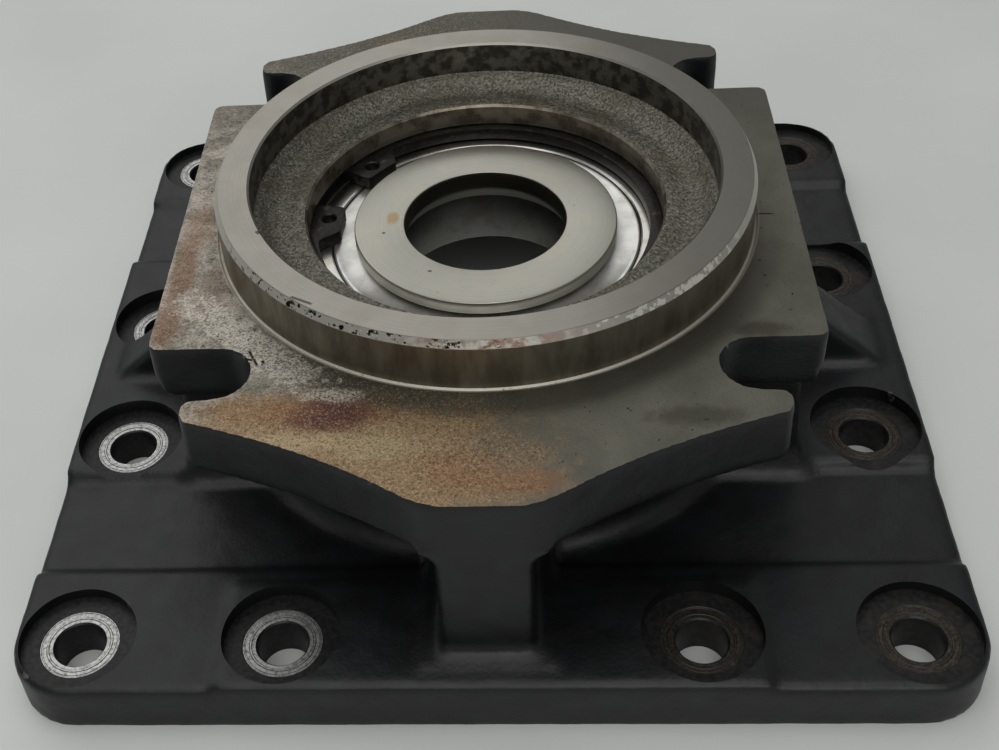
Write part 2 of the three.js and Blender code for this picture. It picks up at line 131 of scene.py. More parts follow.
REGISTER_RADIUS = 64.0
REGISTER_DEPTH = 6.0
CAVITY_RADIUS = 61.0
CROWN_RADIUS = 40.0
CROWN_Z = 27.0
SHOULDER_RADIUS = 38.0
SEAT_RADIUS = BEARING_RADIUS + CLEARANCE
GROOVE_RADIUS = 44.25

MACHINING = 1.2  # metal left on the casting for its machined faces
JOINING_VOXEL = 1.0
CASTING_VOXEL = 1.14  # a finer one takes the casting past the exporter's 200,000 triangles
EDGE_SMOOTHING = 5  # smoothing passes, which round the cast edges
SAND_RIPPLES = ((0.10, 6.0), (0.05, 1.7))  # height and wavelength

# ------------------------------------------------------------------------ mesh helpers


def new_object(name, vertices, faces):
    """A mesh object from points in millimetres."""
    mesh = bpy.data.meshes.new(name)
    mesh.from_pydata([[c * MM for c in vertex] for vertex in vertices], [], faces)
    obj = bpy.data.objects.new(name, mesh)
    bpy.context.scene.collection.objects.link(obj)
    return obj


def tidy(obj):
    """Merges doubled points and turns every face outwards."""
    sheet = bmesh.new()
    sheet.from_mesh(obj.data)
    bmesh.ops.remove_doubles(sheet, verts=sheet.verts, dist=1e-7)
    bmesh.ops.recalc_face_normals(sheet, faces=sheet.faces)
    sheet.to_mesh(obj.data)
    sheet.free()
    return obj


def turned(name, profile, segments=144, centre=(0, 0)):
    """A solid of revolution about a vertical axis, from a closed loop of (radius, height)."""
    count = len(profile)
    vertices = []
    faces = []
    for i in range(segments):
        angle = 2 * math.pi * i / segments
        for radius, height in profile:
            x = centre[0] + radius * math.cos(angle)
            y = centre[1] + radius * math.sin(angle)
            vertices.append((x, y, height))
        here, there = i * count, (i + 1) % segments * count
        for k in range(count):
            after = (k + 1) % count
            faces.append((here + k, there + k, there + after, here + after))
    return tidy(new_object(name, vertices, faces))


def prism(name, outline, low, high):
    """A flat outline of (x, y) points, raised from one height to another."""
    count = len(outline)
    vertices = [(x, y, z) for z in (low, high) for x, y in outline]
    faces = [tuple(range(count)), tuple(range(count, 2 * count))]
    for i in range(count):
        after = (i + 1) % count
        faces.append((i, after, count + after, count + i))
    return tidy(new_object(name, vertices, faces))


def tapered_block(low, high, centre_y=0.0):
    """A block between two rectangles, each given as (half x, half y, z)."""
    vertices = []
    for half_x, half_y, z in (low, high):
        for sx, sy in ((-1, -1), (1, -1), (1, 1), (-1, 1)):
            vertices.append((sx * half_x, centre_y + sy * half_y, z))
    faces = [(0, 1, 2, 3), (4, 5, 6, 7), (0, 1, 5, 4), (1, 2, 6, 5), (2, 3, 7, 6), (3, 0, 4, 7)]
    return tidy(new_object("block", vertices, faces))


def merged(name, objects):
    """One object that holds all the given meshes, which may overlap."""
    sheet = bmesh.new()
    for obj in objects:
        sheet.from_mesh(obj.data)
        bpy.data.objects.remove(obj)
    mesh = bpy.data.meshes.new(name)
    sheet.to_mesh(mesh)
    sheet.free()
    whole = bpy.data.objects.new(name, mesh)
    bpy.context.scene.collection.objects.link(whole)
    return whole


def settle(obj):
    """Gives the object the mesh that its modifiers make."""
    graph = bpy.context.evaluated_depsgraph_get()
    made = bpy.data.meshes.new_from_object(obj.evaluated_get(graph))
    obj.modifiers.clear()
    obj.data = made
    return obj


def remeshed(obj, voxel):
    modifier = obj.modifiers.new("voxels", "REMESH")
    modifier.mode = "VOXEL"
    modifier.voxel_size = voxel * MM
    return settle(obj)


def smoothed(obj, times):
    modifier = obj.modifiers.new("smooth", "SMOOTH")
    modifier.factor = 0.5
    modifier.iterations = times
    return settle(obj)


def combined(obj, other, operation):
    modifier = obj.modifiers.new("boolean", "BOOLEAN")
    modifier.object = other
    modifier.operation = operation
    modifier.solver = "MANIFOLD"
    settle(obj)
    bpy.data.objects.remove(other)
    return obj


def carved(obj, *cutters):
    for cutter in cutters:
        combined(obj, cutter, "DIFFERENCE")
    return obj


def bezier(start, first, second, end, steps):
    """Points of a cubic curve after its start."""
    points = []
    for i in range(1, steps + 1):
        t = i / steps
        s = 1 - t
        weights = (s * s * s, 3 * s * s * t, 3 * s * t * t, t * t * t)
        corners = (start, first, second, end)
        points.append(tuple(sum(w * c[k] for w, c in zip(weights, corners)) for k in (0, 1)))
    return points


def arc(centre, radius, start, end, steps):
    """Points of an arc, with its angles in degrees, both ends included."""
    points = []
    for i in range(steps + 1):
        angle = math.radians(start + (end - start) * i / steps)
        x = centre[0] + radius * math.cos(angle)
        points.append((x, centre[1] + radius * math.sin(angle)))
    return points


# ----------------------------------------------------------------------------- housing


def rounded_square(half, radius):
    inner = half - radius
    points = []
    for turn, (sx, sy) in enumerate(((1, 1), (-1, 1), (-1, -1), (1, -1))):
        points += arc((sx * inner, sy * inner), radius, 90 * turn, 90 * turn + 90, 16)
    return points


def flange_outline():
    """The top flange seen from above: two lobes, two straight sides and four open slots."""
    near = SLOT_CENTRE - SLOT_HALF_WIDTH
    far = SLOT_CENTRE + SLOT_HALF_WIDTH
    quarter = [(FLANGE_HALF_X, 0)]
    quarter += arc((FLANGE_HALF_X - 2, near - 2), 2, 0, 90, 6)
    quarter += arc((SLOT_CENTRE, SLOT_CENTRE), SLOT_HALF_WIDTH, -90, -270, 24)
    quarter += arc((LOBE_TIP_X - 2, far + 2), 2, -90, 0, 6)
    quarter += bezier((LOBE_TIP_X, far + 4.5), (LOBE_TIP_X, far + 6.2),
                      (LOBE_TIP_X - 1, far + 6.9), (LOBE_TIP_X - 2.2, far + 7.2), 6)
    quarter += bezier((LOBE_TIP_X - 2.2, far + 7.2), (44, 77.4), (32, 83.2), (23, 88.5), 16)
    quarter += bezier((23, 88.5), (17, 92), (13, 95.5), LOBE_NOSE, 10)
    quarter.append((0, LOBE_NOSE[1]))
    back = quarter + [(-x, y) for x, y in reversed(quarter)][1:]
    return back + [(x, -y) for x, y in reversed(back)][1:-1]


def rough_plate(allowance):
    """The base plate with its pads, deeper than it ends up by the machining allowance."""
    low, half = -allowance, BASE_HALF
    square = rounded_square(half, CORNER_RADIUS)
    pads = [tapered_block((half, SIDE_PAD_HALF_Y, low), (half, SIDE_PAD_HALF_Y, STRIP_Z))]
    for side in SIDES:
        corner = (half - CORNER_PAD_Y) / 2
        strip = (half - STRIP_Y) / 2
        corner_y = side * (half + CORNER_PAD_Y) / 2
        strip_y = side * (half + STRIP_Y) / 2
        pads.append(tapered_block((half, corner, low), (half, corner, CORNER_PAD_Z), corner_y))
        pads.append(tapered_block((STRIP_HALF_X, strip, low), (STRIP_HALF_X, strip, STRIP_Z), strip_y))
    plate = prism("plate", square, low, FLOOR_Z)
    for pad in pads:
        combined(pad, prism("square", square, low, STRIP_Z + 1), "INTERSECT")
    return [plate, *pads]


def rough_body():
    """The round drum, the side body, the pillars and the ribs between base and flange."""
    drum = turned("drum", [
        (0, 5), (DRUM_RADIUS + 4, 5), (DRUM_RADIUS + 4, FLOOR_Z), (DRUM_RADIUS + 1.2, FLOOR_Z + 1.4),
        (DRUM_RADIUS, FLOOR_Z + 4.3), (DRUM_RADIUS, FLANGE_BOTTOM - 2.4),
        (DRUM_RADIUS + 2.6, FLANGE_BOTTOM + 1), (0, FLANGE_BOTTOM + 1),
    ])
    side_body = tapered_block((*SIDE_FOOT, 5), (*SIDE_TOP, FLANGE_BOTTOM + 1))
    side_foot = tapered_block((SIDE_FOOT[0] + 2.5, SIDE_FOOT[1] + 2.5, FLOOR_Z),
                              (*SIDE_FOOT, STRIP_Z + 3))
    return [drum, side_body, side_foot, *map(rough_pillar, SIDES), *map(rough_rib, SIDES)]


def rough_pillar(side):
    middle = side * (PILLAR_INNER_Y + PILLAR_OUTER_Y) / 2
    half_y = (PILLAR_OUTER_Y - PILLAR_INNER_Y) / 2
    foot = (PILLAR_HALF_X + 4.2, half_y + 3.4)
    ankle = (PILLAR_HALF_X + 0.9, half_y + 0.8)
    shaft = (PILLAR_HALF_X + 0.1, half_y)
    head = (PILLAR_HALF_X + 4.2, half_y)
    parts = [
        tapered_block((*foot, 5), (*foot, STRIP_Z + 0.7), middle),
        tapered_block((*ankle, STRIP_Z + 0.7), (*shaft, STRIP_Z + 2.0), middle),
        tapered_block((*shaft, STRIP_Z - 1), (*shaft, FLANGE_BOTTOM + 1), middle),
        tapered_block((*shaft, FLANGE_BOTTOM - 3), (*head, FLANGE_BOTTOM + 1), middle),
    ]
    return merged("pillar", parts)


def rough_rib(side):
    """A sloping rib, drawn in side view and turned upright."""
    outline = [(DRUM_RADIUS, 5), (RIB_FOOT_X, 5), (RIB_FOOT_X, STRIP_Z), (RIB_TOP_X, RIB_TOP_Z),
               (DRUM_RADIUS, RIB_TOP_Z)]
    rib = prism("rib", [(side * x, z) for x, z in outline], -RIB_HALF_Y, RIB_HALF_Y)
    rib.data.transform(Matrix.Rotation(math.pi / 2, 4, "X"))
    return rib


def rough_flange(allowance):
    top = prism("flange_top", flange_outline(), FLANGE_BOTTOM, FLANGE_TOP + allowance)
    taper = []
    for side in SIDES:
        wedge = [(FLANGE_HALF_X, FLANGE_TAPER_Z), (FLANGE_HALF_X + 3, FLANGE_TAPER_Z),
                 (FLANGE_HALF_X + 3, FLANGE_BOTTOM - 1), (FLANGE_TAPER_HALF_X, FLANGE_BOTTOM - 1)]
        cutter = prism("wedge", [(side * x, z) for x, z in wedge], -SLOT_CENTRE, SLOT_CENTRE)
        cutter.data.transform(Matrix.Rotation(math.pi / 2, 4, "X"))
        taper.append(cutter)
    pilot = turned("pilot", [
        (0, FLANGE_BOTTOM), (PILOT_RADIUS + allowance, FLANGE_BOTTOM),
        (PILOT_RADIUS + allowance, PILOT_TOP + allowance), (0, PILOT_TOP + allowance),
    ])
    return [carved(top, *taper), pilot]


def dome_profile():
    """The cast cavity under the bearing, from the register's corner up to its crown."""
    points = [(0, -8), (CAVITY_RADIUS, -8), (CAVITY_RADIUS, REGISTER_DEPTH)]
    points += bezier((CAVITY_RADIUS, REGISTER_DEPTH), (58, 18), (52, 26), (CROWN_RADIUS, CROWN_Z), 14)
    return points + [(0, CROWN_Z)]


def dish_profile():
    """The cast recess in the pilot ring: a cove under the machined wall and a rounded lip."""
    cove = [(38, 58), (40, 60.6), (44.5, 60.8), (46.6, 60.5), (48.4, 60.2), (50.2, 60.6),
            (51.9, 61.5), (53.4, 62.7), (54.4, 64.0), (54.9, 65.2), (55.0, 90)]
    return [(0, 90), (0, 58), *cove]


def rippled(obj, height, wavelength):
    """Moves each point along its normal by smooth noise, as a sand mould leaves the surface."""
    mesh = obj.data
    points = np.empty(len(mesh.vertices) * 3)
    normals = np.empty(len(mesh.vertices) * 3)
    mesh.vertices.foreach_get("co", points)
    mesh.vertex_normals.foreach_get("vector", normals)
    points = points.reshape(-1, 3)
    wave = np.array([noise.noise(point) for point in points / (wavelength * MM)])
    points += normals.reshape(-1, 3) * wave[:, None] * height * MM
    mesh.vertices.foreach_set("co", points.ravel())
    mesh.update()
    return obj


def outside_turning():
    """Cuts the flange's face, the pilot's outside, its chamfer and its rim in one pass."""
    far, high = 150, 95
    shoulder = PILOT_TOP - PILOT_CHAMFER_HEIGHT
    return turned("turning", [
        (far, FLANGE_TOP), (PILOT_RADIUS + 0.9, FLANGE_TOP), (PILOT_RADIUS + 0.45, FLANGE_TOP - 0.25),
        (PILOT_RADIUS, FLANGE_TOP + 0.1), (PILOT_RADIUS, shoulder),
        (PILOT_RADIUS - PILOT_CHAMFER_WIDTH, PILOT_TOP), (0, PILOT_TOP), (0, high), (far, high),
    ], 288)


def boring():
    """Cuts the recess wall, the lip, the bearing seat, the ring's groove and the shoulder."""
    seat_z = BEARING_BOTTOM - CLEARANCE
    groove_top = CLIP_HIGH + CLEARANCE
    edge = 0.5
    return turned("boring", [
        (0, CROWN_Z - 1), (SHOULDER_RADIUS, CROWN_Z - 1), (SHOULDER_RADIUS, seat_z - edge),
        (SHOULDER_RADIUS + edge, seat_z), (SEAT_RADIUS, seat_z), (SEAT_RADIUS, BEARING_TOP),
        (GROOVE_RADIUS, BEARING_TOP), (GROOVE_RADIUS, groove_top), (SEAT_RADIUS, groove_top),
        (SEAT_RADIUS, LIP_Z + 0.3), (SEAT_RADIUS + edge, LIP_Z + 0.9),
        (SEAT_RADIUS + edge, RECESS_Z + 0.9), (RECESS_RADIUS - 0.3, RECESS_Z + 0.9),
        (RECESS_RADIUS, RECESS_Z + 1.3), (RECESS_RADIUS, PILOT_TOP - edge),
        (RECESS_RADIUS + edge, PILOT_TOP + 0.02), (RECESS_RADIUS + edge, 90), (0, 90),
    ], 240)


def underside_facing():
    """Cuts the base's underside and its register."""
    face = tapered_block((120, 120, -20), (120, 120, 0))
    register = turned("register", [
        (0, -20), (REGISTER_RADIUS + 0.5, -20), (REGISTER_RADIUS + 0.5, 0), (REGISTER_RADIUS, 0.5),
        (REGISTER_RADIUS, REGISTER_DEPTH), (0, REGISTER_DEPTH),
    ], 192)
    return face, register


def bolt_centres():
    """The middles of the base's bolt holes, from the openings that the record states."""
    centres = []
    for opening in frame["record"]["physics"]["openings"]:
        if opening["name"].startswith("bolt_hole"):
            low, high = opening["box_m"]
            centres.append(((low[0] + high[0]) / 2 / MM, (low[1] + high[1]) / 2 / MM))
    return centres


def bolt_cutter(centre):
    """A bolt hole with its spot face and the ring that the washer has worn in it."""
    worn = SPOT_Z - WASHER_DEPTH
    return turned("bolt", [
        (0, -10), (HOLE_RADIUS, -10), (HOLE_RADIUS, worn - 0.35), (HOLE_RADIUS + 0.35, worn),
        (6.7, worn), (6.85, worn + 0.1), (7.2, worn + 0.1), (7.35, worn), (8.1, worn), (8.2, worn - 0.08),
        (8.4, worn - 0.08), (8.5, worn), (WASHER_RADIUS, worn), (WASHER_RADIUS + 0.15, SPOT_Z),
        (SPOT_RADIUS, SPOT_Z), (SPOT_RADIUS, CUTTER_Z), (0, CUTTER_Z),
    ], 64, centre)


def casting():
    """The raw casting: blended blocks with rounded edges and a slightly uneven skin."""
    parts = [*rough_plate(MACHINING), *rough_body(), *rough_flange(MACHINING)]
    raw = remeshed(merged("housing_casting", parts), JOINING_VOXEL)
    carved(raw, turned("dome", dome_profile()), turned("dish", dish_profile()))
    smoothed(remeshed(raw, CASTING_VOXEL), EDGE_SMOOTHING)
    for height, wavelength in SAND_RIPPLES:
        rippled(raw, height, wavelength)
    return raw


def machined_casting():
    raw = casting()
    holes = merged("holes", [bolt_cutter(centre) for centre in bolt_centres()])
    return carved(raw, outside_turning(), boring(), *underside_facing(), holes)


# ------------------------------------------------------------- faces and finished pieces

CASTING_KINDS = ("paint", "flange_face", "pilot", "recess", "seat", "spot_face", "washer_ring",
                 "underside")
CAST_SKINS = [CASTING_KINDS.index("paint"), CASTING_KINDS.index("recess")]


def face_arrays(mesh):
    """Every face's middle in millimetres and its normal."""
    middles = np.empty(len(mesh.polygons) * 3)
    normals = np.empty(len(mesh.polygons) * 3)
    mesh.polygons.foreach_get("center", middles)
    mesh.polygon_normals.foreach_get("vector", normals)
    return middles.reshape(-1, 3) / MM, normals.reshape(-1, 3)


def casting_kinds(mesh):
    """Which finish each face of the casting has, by where it lies and which way it faces."""
    middles, normals = face_arrays(mesh)
    x, y, z = middles.T
    radius = np.hypot(x, y)
    up = normals[:, 2] > 0.9
    kinds = np.zeros(len(z), np.int32)

    def give(name, where):
        kinds[where] = CASTING_KINDS.index(name)

    low_edge = FLANGE_TOP - 0.3
    in_recess = radius < RECESS_RADIUS - 0.1
    in_register = (radius < REGISTER_RADIUS + 0.6) & (radius > CAVITY_RADIUS)
    give("flange_face", (z > low_edge) & (z < FLANGE_TOP + 0.05) & up & (radius > PILOT_RADIUS))
    give("flange_face", (z > low_edge) & (z < FLANGE_TOP + 0.2) & (abs(radius - PILOT_RADIUS - 0.4) < 0.6))
    give("pilot", (z > FLANGE_TOP + 0.1) & (radius < PILOT_RADIUS + 0.3) & (radius > RECESS_RADIUS - 0.2))
    give("recess", (z > SHOULDER_TOP_Z) & in_recess)
    give("seat", (z > CROWN_Z) & (z < LIP_Z + 1.0) & (radius < SEAT_RADIUS + 0.55))
    give("seat", (z > RECESS_Z + 1.1) & (abs(radius - RECESS_RADIUS) < 0.2) & (abs(normals[:, 2]) < 0.3))
    for hole_x, hole_y in bolt_centres():
        away = np.hypot(x - hole_x, y - hole_y)
        low = z < SPOT_Z + 0.05
        give("spot_face", low & up & (away < SPOT_RADIUS))
        give("washer_ring", low & up & (away < WASHER_RADIUS + 0.2))
        give("spot_face", low & (away < HOLE_RADIUS + 0.4))
    give("underside", (z < 0.05) & (normals[:, 2] < -0.9))
    give("underside", (z < REGISTER_DEPTH + 0.05) & in_register)
    return kinds


def mark_sharp(mesh, kinds, machined_angle, cast_angle):
    """Shades every face smooth and keeps hard edges where finishes meet or faces turn sharply."""
    _, normals = face_arrays(mesh)
    loops = np.empty(len(mesh.loops), np.int32)
    mesh.loops.foreach_get("edge_index", loops)
    counts = np.empty(len(mesh.polygons), np.int32)
    mesh.polygons.foreach_get("loop_total", counts)
    owner = np.repeat(np.arange(len(mesh.polygons)), counts)
    order = np.argsort(loops, kind="stable")
    edges, owners = loops[order], owner[order]
    pair = np.flatnonzero(edges[1:] == edges[:-1])
    first, second = owners[pair], owners[pair + 1]
    turn = np.degrees(np.arccos(np.clip((normals[first] * normals[second]).sum(1), -1, 1)))
    cast = np.isin(kinds[first], CAST_SKINS) | np.isin(kinds[second], CAST_SKINS)
    hard = (kinds[first] != kinds[second]) | (turn > np.where(cast, cast_angle, machined_angle))
    sharp = np.zeros(len(mesh.edges), bool)
    sharp[edges[pair[hard]]] = True
    attribute = mesh.attributes.get("sharp_edge") or mesh.attributes.new("sharp_edge", "BOOLEAN", "EDGE")
    attribute.data.foreach_set("value", sharp)
    mesh.polygons.foreach_set("use_smooth", np.ones(len(mesh.polygons), bool))
    mesh.update()


def finished(obj, name, body, nodes, materials, kinds=None, sharp_angle=28.0, cast_angle=55.0):
    """Names a piece, gives it its materials, ties it to its body and hides the CAD nodes that it stands
    for.
    """
    obj.name = name
    obj.data.name = name
    obj.data.materials.clear()
    for material in materials:
        obj.data.materials.append(material)
    kinds = np.ones(len(obj.data.polygons), np.int32) if kinds is None else kinds
    if len(materials) > 1:
        obj.data.polygons.foreach_set("material_index", kinds)
    mark_sharp(obj.data, kinds, sharp_angle, cast_angle)
    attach(obj, body)
    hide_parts(*nodes)
    return obj


# --------------------------------------------------------------------- bearing and rings

BORE_RADIUS = 22.5
PITCH_RADIUS = 32.5
BALL_RADIUS = 6.35
POCKET_RADIUS = BALL_RADIUS + CLEARANCE
INNER_LAND = 28.8
OUTER_LAND = 36.6
SHIELD_SEAT = 37.6
SHIELD_SEAT_DEPTH = 1.9
SHIELD_BORE = 29.4
SHIELD_RIM = SHIELD_SEAT - CLEARANCE
SHIELD_RECESS = 0.3
CAGE_INNER = 29.8
CAGE_OUTER = 35.2
CAGE_THICKNESS = 1.0
RIVET_SHANK = 0.8
RIVET_HEAD = 1.8
RIVET_HEAD_HEIGHT = 0.75
CLIP_GAP_ANGLE = 157.5
CLIP_GAP_HALF = 10.5
CLIP_INNER = 40.2
CLIP_ECCENTRICITY = 0.6
CLIP_EAR_RADIUS = 35.2
CLIP_EAR_ANGLE = 15.0
CLIP_EAR_BLEND = 6.0
CLIP_HOLE_RADIUS = 1.75
CLIP_HOLE_INSET = 3.4
COLLAR_BORE = 19.6
COLLAR_SPIGOT_Z = 47.0
COLLAR_CONE_Z = 50.5
COLLAR_CONE_RADIUS = 21.4
COLLAR_SKIRT_Z = 52.3
COLLAR_FOOT = 28.0


def rounded(corner, before, after, size, steps=3):
    """A corner of a profile, rounded off between points at the given distance along its sides."""
    corner, before, after = Vector(corner), Vector(before), Vector(after)
    start = corner + (before - corner).normalized() * size
    end = corner + (after - corner).normalized() * size
    points = []
    for i in range(steps + 1):
        t = i / steps
        points.append(tuple(start * (1 - t) ** 2 + corner * 2 * t * (1 - t) + end * t ** 2))
    return points


def eased(profile, size):
    """A closed profile with each of its corners rounded by size, or by less on short sides."""
    points = []
    for i, corner in enumerate(profile):
        before, after = profile[i - 1], profile[(i + 1) % len(profile)]
        room = min(math.dist(corner, before), math.dist(corner, after)) * 0.45
        points += rounded(corner, before, after, min(size, room))
    return points


def race(side, land):
    """The ball groove of a ring from its low edge to its high one, as points (radius, height)."""
    dip = math.acos((side * (land - PITCH_RADIUS)) / POCKET_RADIUS)
    points = []
    for i in range(17):
        angle = -dip + 2 * dip * i / 16
        radius = PITCH_RADIUS + side * POCKET_RADIUS * math.cos(angle)
        points.append((radius, BEARING_MIDDLE + POCKET_RADIUS * math.sin(angle)))
    return points


def outer_ring():
    low, high = BEARING_BOTTOM, BEARING_TOP
    outside = eased([
        (SHIELD_SEAT, low), (BEARING_RADIUS, low), (BEARING_RADIUS, high), (SHIELD_SEAT, high),
        (SHIELD_SEAT, high - SHIELD_SEAT_DEPTH), (OUTER_LAND, high - SHIELD_SEAT_DEPTH),
    ], 0.9)
    seat = [(OUTER_LAND, low + SHIELD_SEAT_DEPTH), (SHIELD_SEAT, low + SHIELD_SEAT_DEPTH)]
    return turned("outer_ring", outside + race(1, OUTER_LAND)[::-1] + seat, 192)


def inner_ring():
    low, high = BEARING_BOTTOM, BEARING_TOP
    bore = eased([(INNER_LAND, high), (BORE_RADIUS, high), (BORE_RADIUS, low), (INNER_LAND, low)], 0.8)
    return turned("inner_ring", race(-1, INNER_LAND) + bore, 144)


def shield(side):
    """A pressed steel shield with a rolled rim and a shallow dish."""
    face = BEARING_TOP - BEARING_MIDDLE - SHIELD_RECESS
    profile = [
        (SHIELD_BORE, face - 0.1), (SHIELD_BORE, face - 1.3), (SHIELD_BORE + 0.5, face - 1.3),
        (SHIELD_BORE + 0.8, face - 0.8), (SHIELD_RIM - 0.8, face - 0.8), (SHIELD_RIM - 0.7, face - 1.3),
        (SHIELD_RIM, face - 1.3), (SHIELD_RIM, face - 0.2), (SHIELD_RIM - 0.35, face),
        (SHIELD_RIM - 1.0, face), (SHIELD_RIM - 1.3, face - 0.15), (SHIELD_BORE + 1.4, face - 0.15),
        (SHIELD_BORE + 1.1, face), (SHIELD_BORE + 0.4, face),
    ]
    return turned("shield", [(r, BEARING_MIDDLE + side * height) for r, height in profile], 168)


def sphere(name, radius, centre, segments=48, rings=24):
    profile = arc((0, centre[2]), radius, -90, 90, rings)
    profile = [(max(r, 0.0), z) for r, z in profile]
    return turned(name, profile, segments, centre[:2])


def pitch_point(steps):
    angle = steps * BALL_STEP
    return PITCH_RADIUS * math.cos(angle), PITCH_RADIUS * math.sin(angle)


def cage_half(side):
    """One half of the cage: a flat band that is bulged round each ball."""
    near = CLEARANCE / 2
    far = near + CAGE_THICKNESS
    dome = POCKET_RADIUS + CAGE_THICKNESS

    def band(start, end):
        heights = [BEARING_MIDDLE + side * start, BEARING_MIDDLE + side * end]
        loop = [(r, z) for r, z in ((CAGE_INNER, heights[0]), (CAGE_OUTER, heights[0]),
                                    (CAGE_OUTER, heights[1]), (CAGE_INNER, heights[1]))]
        return turned("band", loop, 144)

    centres = [(*pitch_point(i), BEARING_MIDDLE) for i in range(BALLS)]
    bulges = merged("bulges", [sphere("bulge", dome, centre) for centre in centres])
    hollows = merged("hollows", [sphere("hollow", POCKET_RADIUS, centre) for centre in centres])
    low, high = BEARING_MIDDLE - dome, BEARING_MIDDLE + dome
    holes = [turned("hole", [(0, low), (RIVET_SHANK + 0.25, low), (RIVET_SHANK + 0.25, high), (0, high)],
                    24, pitch_point(i + 0.5)) for i in range(BALLS)]
    combined(bulges, band(near, dome + 1), "INTERSECT")
    half = combined(band(near, far), bulges, "UNION")
    return carved(half, hollows, merged("holes", holes))


def rivet(index):
    """A rivet with a domed head on each side of the cage."""
    seat = CLEARANCE / 2 + CAGE_THICKNESS + CLEARANCE
    dome = [(RIVET_HEAD * math.cos(a), seat + RIVET_HEAD_HEIGHT * math.sin(a))
            for a in (math.radians(10 * i) for i in range(10))]
    upper = [(RIVET_SHANK, seat), *dome[:-1], (0, seat + RIVET_HEAD_HEIGHT)]
    lower = [(r, -z) for r, z in reversed(upper)]
    profile = [(r, BEARING_MIDDLE + z) for r, z in lower + upper]
    return turned("rivet", profile, 32, pitch_point(index + 0.5))


def clip_inner(from_gap):
    """The retaining ring's inner radius at an angle from the middle of its gap."""
    band = CLIP_INNER + CLIP_ECCENTRICITY * math.cos(math.radians(from_gap))
    away = (abs(from_gap) - CLIP_GAP_HALF - CLIP_EAR_ANGLE) / CLIP_EAR_BLEND
    away = min(max(away, 0), 1)
    share = 1 - away * away * (3 - 2 * away)
    end = min((abs(from_gap) - CLIP_GAP_HALF) / 3.0, 1)
    corner = 1.2 * (1 - math.sqrt(max(1 - (1 - end) ** 2, 0)))
    return band + (CLIP_EAR_RADIUS - band) * share + corner


def clip_point(radius, from_gap):
    angle = math.radians(CLIP_GAP_ANGLE + from_gap)
    return radius * math.cos(angle), radius * math.sin(angle)


def retaining_ring():
    steps = 300
    turn = 2 * (180 - CLIP_GAP_HALF)
    outer_radius = GROOVE_RADIUS - CLEARANCE
    outer, inner = [], []
    for i in range(steps + 1):
        share = i / steps
        swing = turn * (share - 0.12 * math.sin(4 * math.pi * share) / 2)
        from_gap = CLIP_GAP_HALF + swing
        signed = from_gap - 360 if from_gap > 180 else from_gap
        outer.append(clip_point(outer_radius, from_gap))
        inner.append(clip_point(clip_inner(signed), from_gap))
    ring = prism("clip", outer + inner[::-1], CLIP_LOW, CLIP_HIGH)
    holes = []
    for side in SIDES:
        at = clip_point(CLIP_EAR_RADIUS + CLIP_HOLE_INSET, side * (CLIP_GAP_HALF + CLIP_EAR_ANGLE / 2))
        profile = [(0, CLIP_LOW - 1), (CLIP_HOLE_RADIUS, CLIP_LOW - 1), (CLIP_HOLE_RADIUS, CLIP_HIGH - 0.3),
                   (CLIP_HOLE_RADIUS + 0.5, CLIP_HIGH + 0.2), (0, CLIP_HIGH + 0.2)]
        holes.append(turned("hole", profile, 40, at))
    carved(ring, merged("holes", holes))
    bevel = ring.modifiers.new("edges", "BEVEL")
    bevel.width = 0.25 * MM
    bevel.segments = 2
    bevel.limit_method = "ANGLE"
    bevel.angle_limit = math.radians(50)
    return settle(ring)


def turned_collar():
    """The bright collar: a wide flange on a foot and a spigot, with a counter-bored cone below."""
    spigot = BORE_RADIUS - CLEARANCE
    foot_z = BEARING_TOP + CLEARANCE
    top = eased([
        (COLLAR_BORE, COLLAR_CONE_Z), (COLLAR_CONE_RADIUS, COLLAR_SPIGOT_Z), (spigot, COLLAR_SPIGOT_Z),
        (spigot, foot_z), (COLLAR_FOOT, foot_z), (COLLAR_FOOT, COLLAR_SKIRT_Z),
        (COLLAR_RADIUS, COLLAR_SKIRT_Z), (COLLAR_RADIUS, COLLAR_TOP),
        (COLLAR_BORE, COLLAR_TOP),
    ], 0.45)
    return turned("collar", top, 240)


# --------------------------------------------------------------------------- materials


def tone(red, green, blue):
    """A screen colour, 0 to 255, as the linear colour that shaders use."""
    return tuple((value / 255) ** 2.2 for value in (red, green, blue)) + (1.0,)


